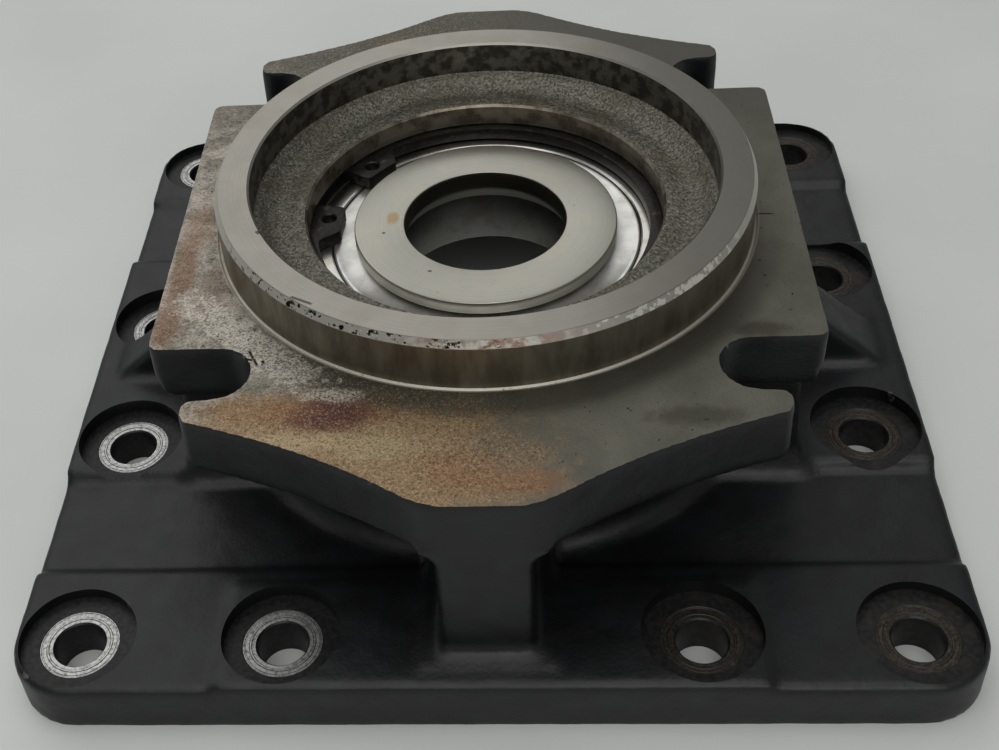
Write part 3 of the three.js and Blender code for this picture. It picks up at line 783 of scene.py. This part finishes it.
class Shader:
    """Builds one procedural material, measured in millimetres of the object's own frame."""

    def __init__(self, name, metallic):
        self.material = bpy.data.materials.new(name)
        self.material.use_nodes = True
        self.tree = self.material.node_tree
        self.surface = self.tree.nodes["Principled BSDF"]
        self.surface.inputs["Metallic"].default_value = metallic
        place = self.add("ShaderNodeTexCoord").outputs["Object"]
        self.mm = self.scaled(place, (1 / MM, 1 / MM, 1 / MM))
        split = self.add("ShaderNodeSeparateXYZ", {}, {0: self.mm})
        self.x, self.y, self.z = split.outputs
        self.radius = self.math("SQRT", self.math("ADD", self.math("MULTIPLY", self.x, self.x),
                                                  self.math("MULTIPLY", self.y, self.y)))

    def add(self, kind, settings=None, inputs=None):
        node = self.tree.nodes.new(kind)
        for key, value in (settings or {}).items():
            setattr(node, key, value)
        for key, value in (inputs or {}).items():
            self.feed(node.inputs[key], value)
        return node

    def feed(self, socket, value):
        if isinstance(value, bpy.types.NodeSocket):
            self.tree.links.new(value, socket)
        else:
            socket.default_value = value

    def finish(self, **inputs):
        """Sets the surface's inputs and gives back the material."""
        for key, value in inputs.items():
            self.feed(self.surface.inputs[key.replace("_", " ")], value)
        return self.material

    def scaled(self, vector, factors):
        node = self.add("ShaderNodeVectorMath", {"operation": "MULTIPLY"}, {0: vector, 1: factors})
        return node.outputs[0]

    def math(self, operation, first, second=0.0):
        return self.add("ShaderNodeMath", {"operation": operation}, {0: first, 1: second}).outputs[0]

    def noise(self, size, detail=3.0, roughness=0.5, place=None):
        """Smooth noise from 0 to 1 whose lumps are about size millimetres across."""
        inputs = {"Vector": place or self.mm, "Scale": 1 / size, "Detail": detail,
                  "Roughness": roughness}
        return self.add("ShaderNodeTexNoise", {}, inputs).outputs["Fac"]

    def cells(self, size):
        """The distance from the nearest of many scattered points, in shares of their spacing."""
        node = self.add("ShaderNodeTexVoronoi", {}, {"Vector": self.mm, "Scale": 1 / size})
        return node.outputs["Distance"]

    def turning(self, pitch, wander=0.0):
        """Fine rings about the axis, as a lathe tool leaves them."""
        radius = self.radius
        if wander:
            radius = self.math("ADD", radius, self.math("MULTIPLY", self.noise(14.0), wander))
        place = self.add("ShaderNodeCombineXYZ", {}, {0: self.math("ADD", radius, self.z)}).outputs[0]
        return self.noise(pitch, 4.0, 0.7, place)

    def mask(self, value, low, high):
        """0 where the value is at low, 1 where it is at high, and a soft step between."""
        node = self.add("ShaderNodeMapRange", {"interpolation_type": "SMOOTHSTEP"},
                        {"Value": value, "From Min": low, "From Max": high})
        return node.outputs["Result"]

    def remap(self, value, low, high):
        """A value from 0 to 1, as one from low to high."""
        node = self.add("ShaderNodeMapRange", {}, {"Value": value, "To Min": low, "To Max": high})
        return node.outputs["Result"]

    def mix(self, share, first, second):
        node = self.add("ShaderNodeMix", {"data_type": "RGBA"}, {0: share, 6: first, 7: second})
        return node.outputs[2]

    def tint(self, colour, where, strength, shade):
        """A colour with a shade laid over it where the mask says, at most by strength."""
        return self.mix(self.math("MULTIPLY", where, strength), colour, shade)

    def lerp(self, share, first, second):
        node = self.add("ShaderNodeMix", {"data_type": "FLOAT"}, {0: share, 2: first, 3: second})
        return node.outputs[0]

    def patch(self, centre, size, ragged=0.35, soft=0.5, grain=5.0):
        """1 inside an ellipse on the plan with a ragged edge, and 0 outside it."""
        away = self.add("ShaderNodeVectorMath", {"operation": "SUBTRACT"}, {0: self.mm, 1: (*centre, 0)})
        shrunk = self.scaled(away.outputs[0], (1 / size[0], 1 / size[1], 0))
        length = self.add("ShaderNodeVectorMath", {"operation": "LENGTH"}, {0: shrunk}).outputs["Value"]
        edge = self.math("MULTIPLY", self.math("SUBTRACT", self.noise(grain, 5.0, 0.65), 0.5), 2 * ragged)
        return self.mask(self.math("ADD", length, edge), 1 + soft / 2, 1 - soft / 2)

    def streak(self, start, end, half_width, ragged=0.3):
        """1 along a straight mark between two points on the plan, and 0 away from it."""
        middle = [(a + b) / 2 for a, b in zip(start, end)]
        span = math.dist(start, end)
        along = [(b - a) / span for a, b in zip(start, end)]
        away = self.add("ShaderNodeVectorMath", {"operation": "SUBTRACT"}, {0: self.mm, 1: (*middle, 0)})
        parts = []
        for direction, reach in ((along, span / 2), ((-along[1], along[0]), half_width)):
            inputs = {0: away.outputs[0], 1: (direction[0] / reach, direction[1] / reach, 0)}
            dot = self.add("ShaderNodeVectorMath", {"operation": "DOT_PRODUCT"}, inputs)
            parts.append(self.math("ABSOLUTE", dot.outputs["Value"]))
        edge = self.math("MULTIPLY", self.math("SUBTRACT", self.noise(1.5, 4.0), 0.5), 2 * ragged)
        return self.mask(self.math("ADD", self.math("MAXIMUM", *parts), edge), 1.2, 0.8)

    def both(self, *masks):
        whole = masks[0]
        for mask in masks[1:]:
            whole = self.math("MULTIPLY", whole, mask)
        return whole

    def any(self, *masks):
        whole = masks[0]
        for mask in masks[1:]:
            whole = self.math("MAXIMUM", whole, mask)
        return whole

    def bump(self, height, depth, under=None):
        """A normal for a surface raised by height, 0 to 1, times depth millimetres."""
        inputs = {"Height": height, "Distance": depth * MM, "Strength": 1.0}
        if under:
            inputs["Normal"] = under
        return self.add("ShaderNodeBump", {}, inputs).outputs["Normal"]

    def edge_wear(self):
        """0.5 on flat ground, more on edges that stick out and less in corners."""
        return self.add("ShaderNodeNewGeometry").outputs["Pointiness"]

    def round_grain(self):
        """The direction of turned marks, for metals that shine across them."""
        return self.add("ShaderNodeTangent", {"direction_type": "RADIAL", "axis": "Z"}).outputs["Tangent"]


# Each stain's middle and half sizes on the plan in millimetres, its shade and its strength.
LOBE_STAINS = (
    ((-31.0, -69.6), (13.0, 5.5), tone(112, 76, 58), 0.7),
    ((-31.6, -70.2), (8.0, 4.2), tone(80, 48, 46), 0.9),
    ((-47.0, -68.5), (11.0, 4.0), tone(132, 100, 70), 0.6),
    ((-3.5, -85.6), (8.0, 4.5), tone(126, 90, 66), 0.5),
    ((-1.0, -90.5), (7.0, 3.0), tone(124, 92, 68), 0.45),
    ((10.0, -89.5), (6.5, 3.4), tone(128, 92, 68), 0.55),
    ((-22.0, -79.5), (9.0, 3.6), tone(156, 142, 112), 0.6),
    ((-38.0, -78.0), (10.0, 2.6), tone(168, 152, 120), 0.55),
    ((8.0, -79.0), (10.0, 6.0), tone(88, 86, 78), 0.5),
)
FACE_STAINS = (
    ((-69.7, -22.6), (3.0, 13.0), tone(112, 84, 64), 0.75),
    ((-70.5, -41.0), (3.4, 7.0), tone(116, 84, 62), 0.7),
    ((-68.5, -6.0), (4.0, 9.0), tone(126, 100, 80), 0.6),
    ((-62.5, -30.0), (4.0, 9.0), tone(96, 74, 60), 0.5),
    ((-24.7, 80.0), (6.0, 3.0), tone(110, 92, 72), 0.6),
    ((59.0, -46.9), (6.0, 2.4), tone(52, 47, 39), 0.6),
    ((43.2, -72.6), (9.0, 2.6), tone(60, 57, 50), 0.6),
)


def painted_iron():
    s = Shader("painted_cast_iron", 0.0)
    broad, fine = s.noise(9.0, 4.0), s.noise(0.8, 4.0, 0.6)
    colour = s.mix(s.mask(broad, 0.35, 0.7), tone(13, 14, 15), tone(20, 22, 24))
    dust = s.both(s.mask(s.noise(2.2, 5.0, 0.7), 0.58, 0.75), s.mask(s.noise(20.0), 0.45, 0.65))
    colour = s.tint(colour, dust, 0.22, tone(62, 64, 66))
    rust = s.both(s.mask(s.noise(3.5, 6.0, 0.7), 0.68, 0.74), s.mask(s.z, 38.0, 50.0))
    colour = s.tint(colour, rust, 0.5, tone(84, 66, 50))
    worn = s.both(s.mask(s.edge_wear(), 0.55, 0.62), s.mask(s.noise(4.0, 5.0, 0.7), 0.42, 0.6))
    colour = s.tint(colour, worn, 0.55, tone(112, 112, 110))
    grain = s.bump(fine, 0.05)
    grain = s.bump(s.noise(3.2, 3.0), 0.08, grain)
    roughness = s.remap(s.noise(5.0, 4.0), 0.34, 0.52)
    return s.finish(Base_Color=colour, Roughness=roughness, Normal=grain, Specular_IOR_Level=0.42)


def flange_face():
    s = Shader("milled_flange_face", 0.8)
    cloud = s.noise(16.0, 5.0, 0.6)
    colour = s.mix(s.mask(cloud, 0.3, 0.7), tone(90, 89, 80), tone(106, 104, 94))
    # Lighter patches towards the left: partly bare worn metal, partly painted light on the left side, where
    # the light falls.
    worn = s.both(s.mask(s.x, -30.0, -62.0), s.mask(s.noise(7.0, 6.0, 0.7), 0.35, 0.6))
    colour = s.tint(colour, worn, 0.75, tone(186, 178, 168))
    back = s.mask(s.y, 20.0, 60.0)
    colour = s.tint(colour, back, 0.8, tone(82, 81, 74))
    lobe = s.patch((-30.0, -84.0), (42.0, 19.0), 0.55, 0.5, 6.0)
    colour = s.tint(colour, lobe, 0.9, tone(140, 117, 88))
    for centre, size, shade, strength in LOBE_STAINS + FACE_STAINS:
        stain = s.patch(centre, size, 0.7, 1.0, 2.6)
        colour = s.tint(colour, stain, strength, shade)
    # Painted shadow: a darker band on the face in front of the pilot ring, where its shadow falls.
    pilot_shadow_band = s.both(s.mask(s.radius, 74.0, 69.0), s.mask(s.y, 20.0, -45.0),
                        s.mask(s.x, -52.0, -25.0))
    colour = s.tint(colour, pilot_shadow_band, 0.65, tone(62, 60, 53))
    scuffed = s.any(s.streak((-66.0, -34.0), (-36.0, -61.0), 4.2, 0.9),
                    s.patch((-31.0, -64.6), (6.0, 2.0), 0.7, 0.8))
    bright = s.both(scuffed, s.mask(s.noise(0.5, 6.0, 0.75), 0.38, 0.6))
    colour = s.tint(colour, bright, 0.72, tone(200, 195, 184))
    left = s.mask(s.x, 24.0, -20.0)
    sparkle = s.both(left, s.mask(s.noise(0.42, 3.0, 0.7), 0.6, 0.7))
    colour = s.tint(colour, sparkle, 0.5, tone(214, 202, 180))
    soot = s.mask(s.noise(0.55, 4.0, 0.7, s.scaled(s.mm, (0.6, 1.0, 1.0))), 0.57, 0.68)
    colour = s.tint(colour, soot, s.lerp(left, 0.2, 0.55), tone(52, 42, 34))
    corner_pits = s.both(s.mask(s.noise(1.5, 4.0, 0.6), 0.6, 0.66),
                         s.patch((-52.0, -50.0), (11.0, 8.0), 0.5, 0.6))
    stray_pits = s.both(s.mask(s.noise(1.0, 3.0, 0.6), 0.66, 0.72), s.mask(s.noise(18.0), 0.45, 0.6))
    pits = s.any(corner_pits, stray_pits)
    cracks = s.any(s.streak((-56.0, -51.0), (-49.0, -53.4), 0.28, 0.5),
                   s.streak((-50.5, -50.2), (-48.2, -54.8), 0.25, 0.5),
                   s.streak((63.0, -6.0), (67.5, -6.3), 0.22, 0.4))
    colour = s.mix(s.any(pits, cracks), colour, tone(24, 21, 19))
    grit = s.noise(0.5, 4.0, 0.75)
    gritty = s.any(s.math("MULTIPLY", left, 0.8), lobe)
    colour = s.tint(colour, s.mask(grit, 0.5, 0.36), s.math("MULTIPLY", gritty, 0.8), tone(66, 54, 42))
    colour = s.tint(colour, s.mask(grit, 0.54, 0.66), s.math("MULTIPLY", gritty, 0.42), tone(206, 186, 152))
    # Painted highlight: a bright line along the groove's edge at the pilot's root, on the front side.
    root_edge_highlight = s.both(s.mask(s.radius, PILOT_RADIUS + 1.3, PILOT_RADIUS + 0.7), s.mask(s.y, 10.0, -25.0))
    colour = s.tint(colour, root_edge_highlight, 0.6, tone(206, 200, 186))
    roughness = s.remap(s.noise(2.0, 5.0, 0.7), 0.34, 0.58)
    normal = s.bump(s.turning(0.35), 0.02)
    normal = s.bump(s.any(pits, cracks), -0.12, s.bump(s.noise(0.7, 5.0, 0.75), 0.07, normal))
    return s.finish(Base_Color=colour, Roughness=roughness, Normal=normal)


def pilot_steel():
    chamfer_radius = PILOT_RADIUS - PILOT_CHAMFER_WIDTH
    chamfer_z = PILOT_TOP - PILOT_CHAMFER_HEIGHT
    s = Shader("turned_pilot_steel", 0.85)
    rings = s.turning(0.3, 1.5)
    colour = s.mix(s.mask(rings, 0.3, 0.7), tone(142, 138, 130), tone(162, 158, 150))
    colour = s.tint(colour, s.mask(s.noise(11.0, 5.0, 0.6), 0.4, 0.7), 0.5, tone(140, 136, 124))
    # Painted shade: darker towards the right, where less light falls.
    colour = s.tint(colour, s.mask(s.x, 0.0, 50.0), 0.8, tone(92, 90, 83))
    wall = s.mask(s.radius, PILOT_RADIUS - 0.35, PILOT_RADIUS - 0.2)
    grime = s.both(wall, s.mask(s.z, chamfer_z + 0.1, chamfer_z - 0.3))
    olive = s.mix(s.mask(s.noise(5.0, 5.0, 0.6, s.scaled(s.mm, (1.0, 1.0, 0.25))), 0.35, 0.65),
                  tone(104, 98, 86), tone(134, 128, 114))
    colour = s.mix(grime, colour, olive)
    chamfer = s.both(s.mask(s.radius, chamfer_radius + 0.02, chamfer_radius + 0.15),
                     s.mask(s.z, chamfer_z - 0.1, chamfer_z + 0.1))
    colour = s.tint(colour, chamfer, 0.6, tone(206, 202, 192))
    front = s.mask(s.y, -20.0, -44.0)
    pits = s.both(chamfer, front, s.mask(s.x, 14.0, -6.0), s.mask(s.noise(1.6, 4.0, 0.6), 0.52, 0.6))
    colour = s.mix(pits, colour, tone(30, 26, 24))
    rust = s.both(chamfer, front, s.mask(s.x, -22.0, -8.0), s.mask(s.x, 30.0, 8.0),
                  s.mask(s.noise(2.4, 5.0), 0.4, 0.6))
    colour = s.tint(colour, rust, 0.7, tone(128, 88, 58))
    flakes = s.both(chamfer, s.mask(s.x, 18.0, 26.0), front, s.mask(s.noise(1.8, 4.0), 0.5, 0.56))
    colour = s.mix(flakes, colour, tone(232, 228, 218))
    marks = s.any(s.streak((-40.0, -47.5), (-35.5, -50.0), 0.3, 0.4),
                  s.streak((-50.4, -24.8), (-48.6, -23.4), 0.6, 0.4))
    colour = s.tint(colour, marks, 0.8, tone(60, 56, 50))
    specks = s.mask(s.noise(0.8, 3.0, 0.6), 0.7, 0.76)
    colour = s.tint(colour, specks, 0.6, tone(60, 56, 48))
    normal = s.bump(rings, 0.015)
    normal = s.bump(s.any(pits, marks), -0.15, normal)
    roughness = s.remap(s.noise(4.0, 4.0, 0.6), 0.3, 0.46)
    return s.finish(Base_Color=colour, Roughness=roughness, Normal=normal, Anisotropic=0.4,
                    Tangent=s.round_grain())


def cast_recess():
    s = Shader("bare_cast_recess", 0.7)
    grain = s.noise(0.7, 4.0, 0.65)
    colour = s.mix(s.mask(grain, 0.35, 0.68), tone(70, 68, 60), tone(128, 125, 114))
    sparkle = s.mask(s.cells(0.9), 0.2, 0.08)
    colour = s.tint(colour, sparkle, 0.5, tone(208, 206, 198))
    oil = s.mask(s.noise(13.0, 4.0), 0.45, 0.65)
    colour = s.tint(colour, oil, 0.45, tone(86, 78, 62))
    normal = s.bump(grain, 0.35, s.bump(s.noise(2.2, 4.0, 0.6), 0.4))
    return s.finish(Base_Color=colour, Roughness=s.remap(grain, 0.3, 0.55), Normal=normal)


def seat_steel():
    s = Shader("oiled_seat_steel", 0.8)
    rings = s.turning(0.4)
    colour = s.mix(s.mask(rings, 0.3, 0.7), tone(116, 108, 96), tone(150, 142, 128))
    oil = s.mask(s.noise(6.0, 5.0, 0.6), 0.42, 0.62)
    colour = s.tint(colour, oil, 0.6, tone(72, 60, 46))
    upper = s.mask(s.radius, SEAT_RADIUS + 4, RECESS_RADIUS - 1)
    mottled = s.mix(s.mask(s.noise(3.0, 5.0), 0.4, 0.6), tone(64, 62, 56), tone(104, 102, 94))
    colour = s.mix(upper, colour, mottled)
    normal = s.bump(rings, 0.03, s.bump(s.noise(1.4, 4.0), 0.06))
    return s.finish(Base_Color=colour, Roughness=s.remap(oil, 0.38, 0.25), Normal=normal)


def spot_face():
    s = Shader("dark_spot_face", 0.55)
    grain = s.noise(1.2, 4.0, 0.6)
    colour = s.mix(s.mask(grain, 0.35, 0.65), tone(27, 27, 27), tone(42, 42, 41))
    rust = s.both(s.mask(s.noise(4.0, 5.0, 0.6), 0.5, 0.62), s.mask(s.x, -20.0, 30.0))
    colour = s.tint(colour, rust, 0.3, tone(66, 56, 48))
    return s.finish(Base_Color=colour, Roughness=s.remap(grain, 0.36, 0.5), Normal=s.bump(grain, 0.03))


def washer_ring():
    """Bright bare metal under the washers of the left-hand holes, and dull on the right."""
    s = Shader("washer_worn_metal", 0.9)
    left = s.mask(s.x, -20.0, -35.0)
    grain = s.noise(0.7, 5.0, 0.7)
    dull = s.mix(s.mask(grain, 0.35, 0.65), tone(52, 48, 44), tone(82, 76, 68))
    bright = s.mix(s.mask(grain, 0.3, 0.6), tone(108, 107, 104), tone(186, 186, 183))
    colour = s.mix(left, dull, bright)
    stain = s.mask(s.noise(2.6, 5.0, 0.65), 0.6, 0.68)
    colour = s.tint(colour, stain, 0.5, tone(60, 50, 44))
    return s.finish(Base_Color=colour, Roughness=s.lerp(left, 0.45, 0.34), Normal=s.bump(grain, 0.03))


def faced_underside():
    s = Shader("faced_underside", 0.85)
    rings = s.turning(0.8)
    colour = s.mix(s.mask(rings, 0.3, 0.7), tone(134, 132, 126), tone(160, 158, 150))
    stain = s.mask(s.noise(12.0, 6.0, 0.6), 0.5, 0.66)
    colour = s.tint(colour, stain, 0.6, tone(108, 90, 70))
    return s.finish(Base_Color=colour, Roughness=s.remap(stain, 0.32, 0.5), Normal=s.bump(rings, 0.04))


def ground_steel(name, dark, light, rough, oil_share):
    """Ground or turned bright steel with fine rings, faint oil film and a few specks."""
    s = Shader(name, 1.0)
    rings = s.turning(0.25)
    colour = s.mix(s.mask(rings, 0.3, 0.7), dark, light)
    oil = s.mask(s.noise(7.0, 5.0, 0.6), 0.48, 0.66)
    colour = s.tint(colour, oil, oil_share, tone(140, 122, 88))
    specks = s.mask(s.noise(0.9, 3.0, 0.6), 0.72, 0.78)
    colour = s.tint(colour, specks, 0.5, tone(70, 62, 52))
    low, high = rough
    return s.finish(Base_Color=colour, Roughness=s.remap(s.noise(3.0, 4.0), low, high),
                    Normal=s.bump(rings, 0.008), Anisotropic=0.5, Tangent=s.round_grain())


def ball_steel():
    s = Shader("polished_ball_steel", 1.0)
    film = s.mask(s.noise(2.5, 4.0), 0.45, 0.65)
    colour = s.tint(tone(214, 215, 216), film, 0.3, tone(176, 160, 126))
    return s.finish(Base_Color=colour, Roughness=s.remap(film, 0.05, 0.14),
                    Normal=s.bump(s.noise(0.8), 0.001))


def pressed_steel(name, dark, light):
    s = Shader(name, 0.95)
    grain = s.noise(0.6, 4.0, 0.6)
    colour = s.mix(s.mask(s.noise(5.0, 4.0), 0.35, 0.65), dark, light)
    grease = s.mask(s.noise(3.5, 5.0, 0.6), 0.54, 0.66)
    colour = s.tint(colour, grease, 0.15, tone(120, 106, 84))
    return s.finish(Base_Color=colour, Roughness=s.remap(grain, 0.26, 0.42), Normal=s.bump(grain, 0.01))


def spring_steel():
    s = Shader("black_spring_steel", 0.7)
    grain = s.noise(1.0, 5.0, 0.65)
    colour = s.mix(s.mask(grain, 0.35, 0.65), tone(28, 27, 25), tone(46, 44, 40))
    worn = s.mask(s.noise(3.2, 5.0, 0.6), 0.6, 0.7)
    colour = s.tint(colour, worn, 0.35, tone(104, 100, 90))
    return s.finish(Base_Color=colour, Roughness=s.remap(grain, 0.3, 0.5), Normal=s.bump(grain, 0.03))


def collar_steel():
    s = Shader("turned_collar_steel", 1.0)
    rings = s.turning(0.22)
    colour = s.mix(s.mask(rings, 0.25, 0.75), tone(149, 147, 137), tone(176, 174, 164))
    colour = s.tint(colour, s.mask(s.noise(9.0, 5.0, 0.6), 0.5, 0.68), 0.25, tone(176, 170, 150))
    stain = s.patch((-22.5, 1.3), (1.4, 2.4), 0.5, 0.8, 1.5)
    colour = s.tint(colour, stain, 0.75, tone(150, 128, 84))
    dots = s.any(s.patch((-24.4, -4.6), (0.45, 0.35), 0.3, 0.4, 0.8),
                 s.patch((-12.7, -19.7), (0.5, 0.35), 0.3, 0.4, 0.8),
                 s.mask(s.noise(0.8, 2.0), 0.74, 0.78))
    colour = s.tint(colour, dots, 0.8, tone(64, 54, 44))
    inside = s.both(s.mask(s.radius, COLLAR_BORE + 0.5, COLLAR_BORE + 0.2),
                    s.mask(s.z, COLLAR_TOP - 0.3, COLLAR_TOP - 1.2))
    colour = s.tint(colour, inside, 0.75, tone(122, 118, 104))
    return s.finish(Base_Color=colour, Roughness=s.remap(s.noise(4.0, 4.0), 0.3, 0.38),
                    Normal=s.bump(rings, 0.008), Anisotropic=0.75, Tangent=s.round_grain())


def floor_board():
    s = Shader("pale_floor", 0.0)
    colour = s.mix(s.mask(s.noise(90.0, 4.0), 0.3, 0.7), tone(192, 194, 191), tone(199, 201, 198))
    return s.finish(Base_Color=colour, Roughness=s.remap(s.noise(30.0), 0.42, 0.5),
                    Normal=s.bump(s.noise(6.0), 0.01))


# ---------------------------------------------------------------------------- assembly

housing_mesh = machined_casting()
finished(housing_mesh, "housing_casting", "housing", ["flange_housing"],
         [painted_iron(), flange_face(), pilot_steel(), cast_recess(), seat_steel(), spot_face(),
          washer_ring(), faced_underside()], casting_kinds(housing_mesh.data))

ring_steel = ground_steel("ground_ring_steel", tone(186, 184, 178), tone(214, 212, 206),
                          (0.18, 0.3), 0.35)
shield_metal = pressed_steel("pressed_shield_steel", tone(196, 195, 190), tone(220, 219, 214))
cage_metal = pressed_steel("pressed_cage_steel", tone(142, 138, 128), tone(172, 168, 158))
ball_metal = ball_steel()

RING_PIECES = (
    (outer_ring(), "outer_race_ring", "housing", "bearing_rings", "bearing_outer_ring", ring_steel),
    (inner_ring(), "inner_race_ring", "hub", "bearing_rings", "bearing_inner_ring", ring_steel),
    (shield(1), "upper_shield", "housing", "bearing_shields", "bearing_shield_upper", shield_metal),
    (shield(-1), "lower_shield", "housing", "bearing_shields", "bearing_shield_lower", shield_metal),
    (retaining_ring(), "retaining_ring", "housing", "retaining_ring", "bore_circlip", spring_steel()),
    (turned_collar(), "turned_collar", "hub", "shaft_collar", "shaft_collar", collar_steel()),
    (cage_half(1), "upper_cage_half", "ball_set", "bearing_cage", "bearing_cage_upper", cage_metal),
    (cage_half(-1), "lower_cage_half", "ball_set", "bearing_cage", "bearing_cage_lower", cage_metal),
)
for obj, name, body, slot, node, metal in RING_PIECES:
    finished(obj, name, body, [node], [metal])
for index in range(BALLS):
    number = f"{index + 1:02d}"
    ball = sphere("ball", BALL_RADIUS, (*pitch_point(index), BEARING_MIDDLE), 64, 40)
    finished(ball, f"ball_{number}", "ball_set", [f"bearing_ball_{number}"],
             [ball_metal])
    finished(rivet(index), f"rivet_{number}", "ball_set", [f"cage_rivet_{number}"],
             [cage_metal])

# ------------------------------------------------------------------ stage, light, camera

CAMERA_PLACE = (0.01083, -0.2795, 0.2650)
CAMERA_YAW = math.radians(-5.74)
CAMERA_PITCH = math.radians(-39.61)
CAMERA_ROLL = math.radians(-5.11)
CAMERA_LENS = 51.82
CAMERA_SHIFT = (0.0790, -0.0817)

ROOM_COLOUR = (0.98, 1.0, 1.0, 1.0)
ROOM_STRENGTH = 0.22
LIGHTS = (  # name, place and size in metres, power in watts
    ("window", (-0.9, 1.3, 1.5), (3.2, 1.6), 15),
    ("ceiling", (-0.1, -0.3, 1.8), (1.8, 1.8), 15),
    ("front_fill", (0.2, -1.6, 1.2), (1.6, 1.0), 11),
)


def lay_floor():
    size = 4000
    floor = new_object("floor", [(-size, -size, 0), (size, -size, 0), (size, size, 0), (-size, size, 0)],
                       [(0, 1, 2, 3)])
    floor.data.materials.append(floor_board())


def area_light(name, place, size, power):
    """A soft rectangular light, given its width and height, that faces the part."""
    lamp = bpy.data.lights.new(name, "AREA")
    lamp.shape = "RECTANGLE"
    lamp.size, lamp.size_y = size
    lamp.energy = power
    obj = bpy.data.objects.new(name, lamp)
    obj.location = place
    aim = Vector((0, 0, 0.03)) - Vector(place)
    obj.rotation_euler = aim.to_track_quat("-Z", "Y").to_euler()
    bpy.context.scene.collection.objects.link(obj)


def light_the_room():
    world = bpy.data.worlds.new("room")
    world.use_nodes = True
    background = world.node_tree.nodes["Background"]
    background.inputs["Color"].default_value = ROOM_COLOUR
    background.inputs["Strength"].default_value = ROOM_STRENGTH
    bpy.context.scene.world = world
    for name, place, size, power in LIGHTS:
        area_light(name, place, size, power)


def place_camera():
    forward = Vector((math.sin(CAMERA_YAW) * math.cos(CAMERA_PITCH),
                      math.cos(CAMERA_YAW) * math.cos(CAMERA_PITCH), math.sin(CAMERA_PITCH)))
    level = Vector((math.cos(CAMERA_YAW), -math.sin(CAMERA_YAW), 0))
    upright = level.cross(forward)
    right = math.cos(CAMERA_ROLL) * level + math.sin(CAMERA_ROLL) * upright
    up = math.cos(CAMERA_ROLL) * upright - math.sin(CAMERA_ROLL) * level
    camera = bpy.data.objects.new("camera", bpy.data.cameras.new("camera"))
    camera.data.lens = CAMERA_LENS
    camera.data.sensor_width = 36.0
    camera.data.shift_x, camera.data.shift_y = CAMERA_SHIFT
    camera.data.clip_start = 0.01
    axes = Matrix((right, up, -forward)).transposed().to_4x4()
    camera.matrix_world = Matrix.Translation(CAMERA_PLACE) @ axes
    bpy.context.scene.collection.objects.link(camera)
    bpy.context.scene.camera = camera


lay_floor()
light_the_room()
place_camera()
bpy.context.scene.view_settings.view_transform = "Standard"
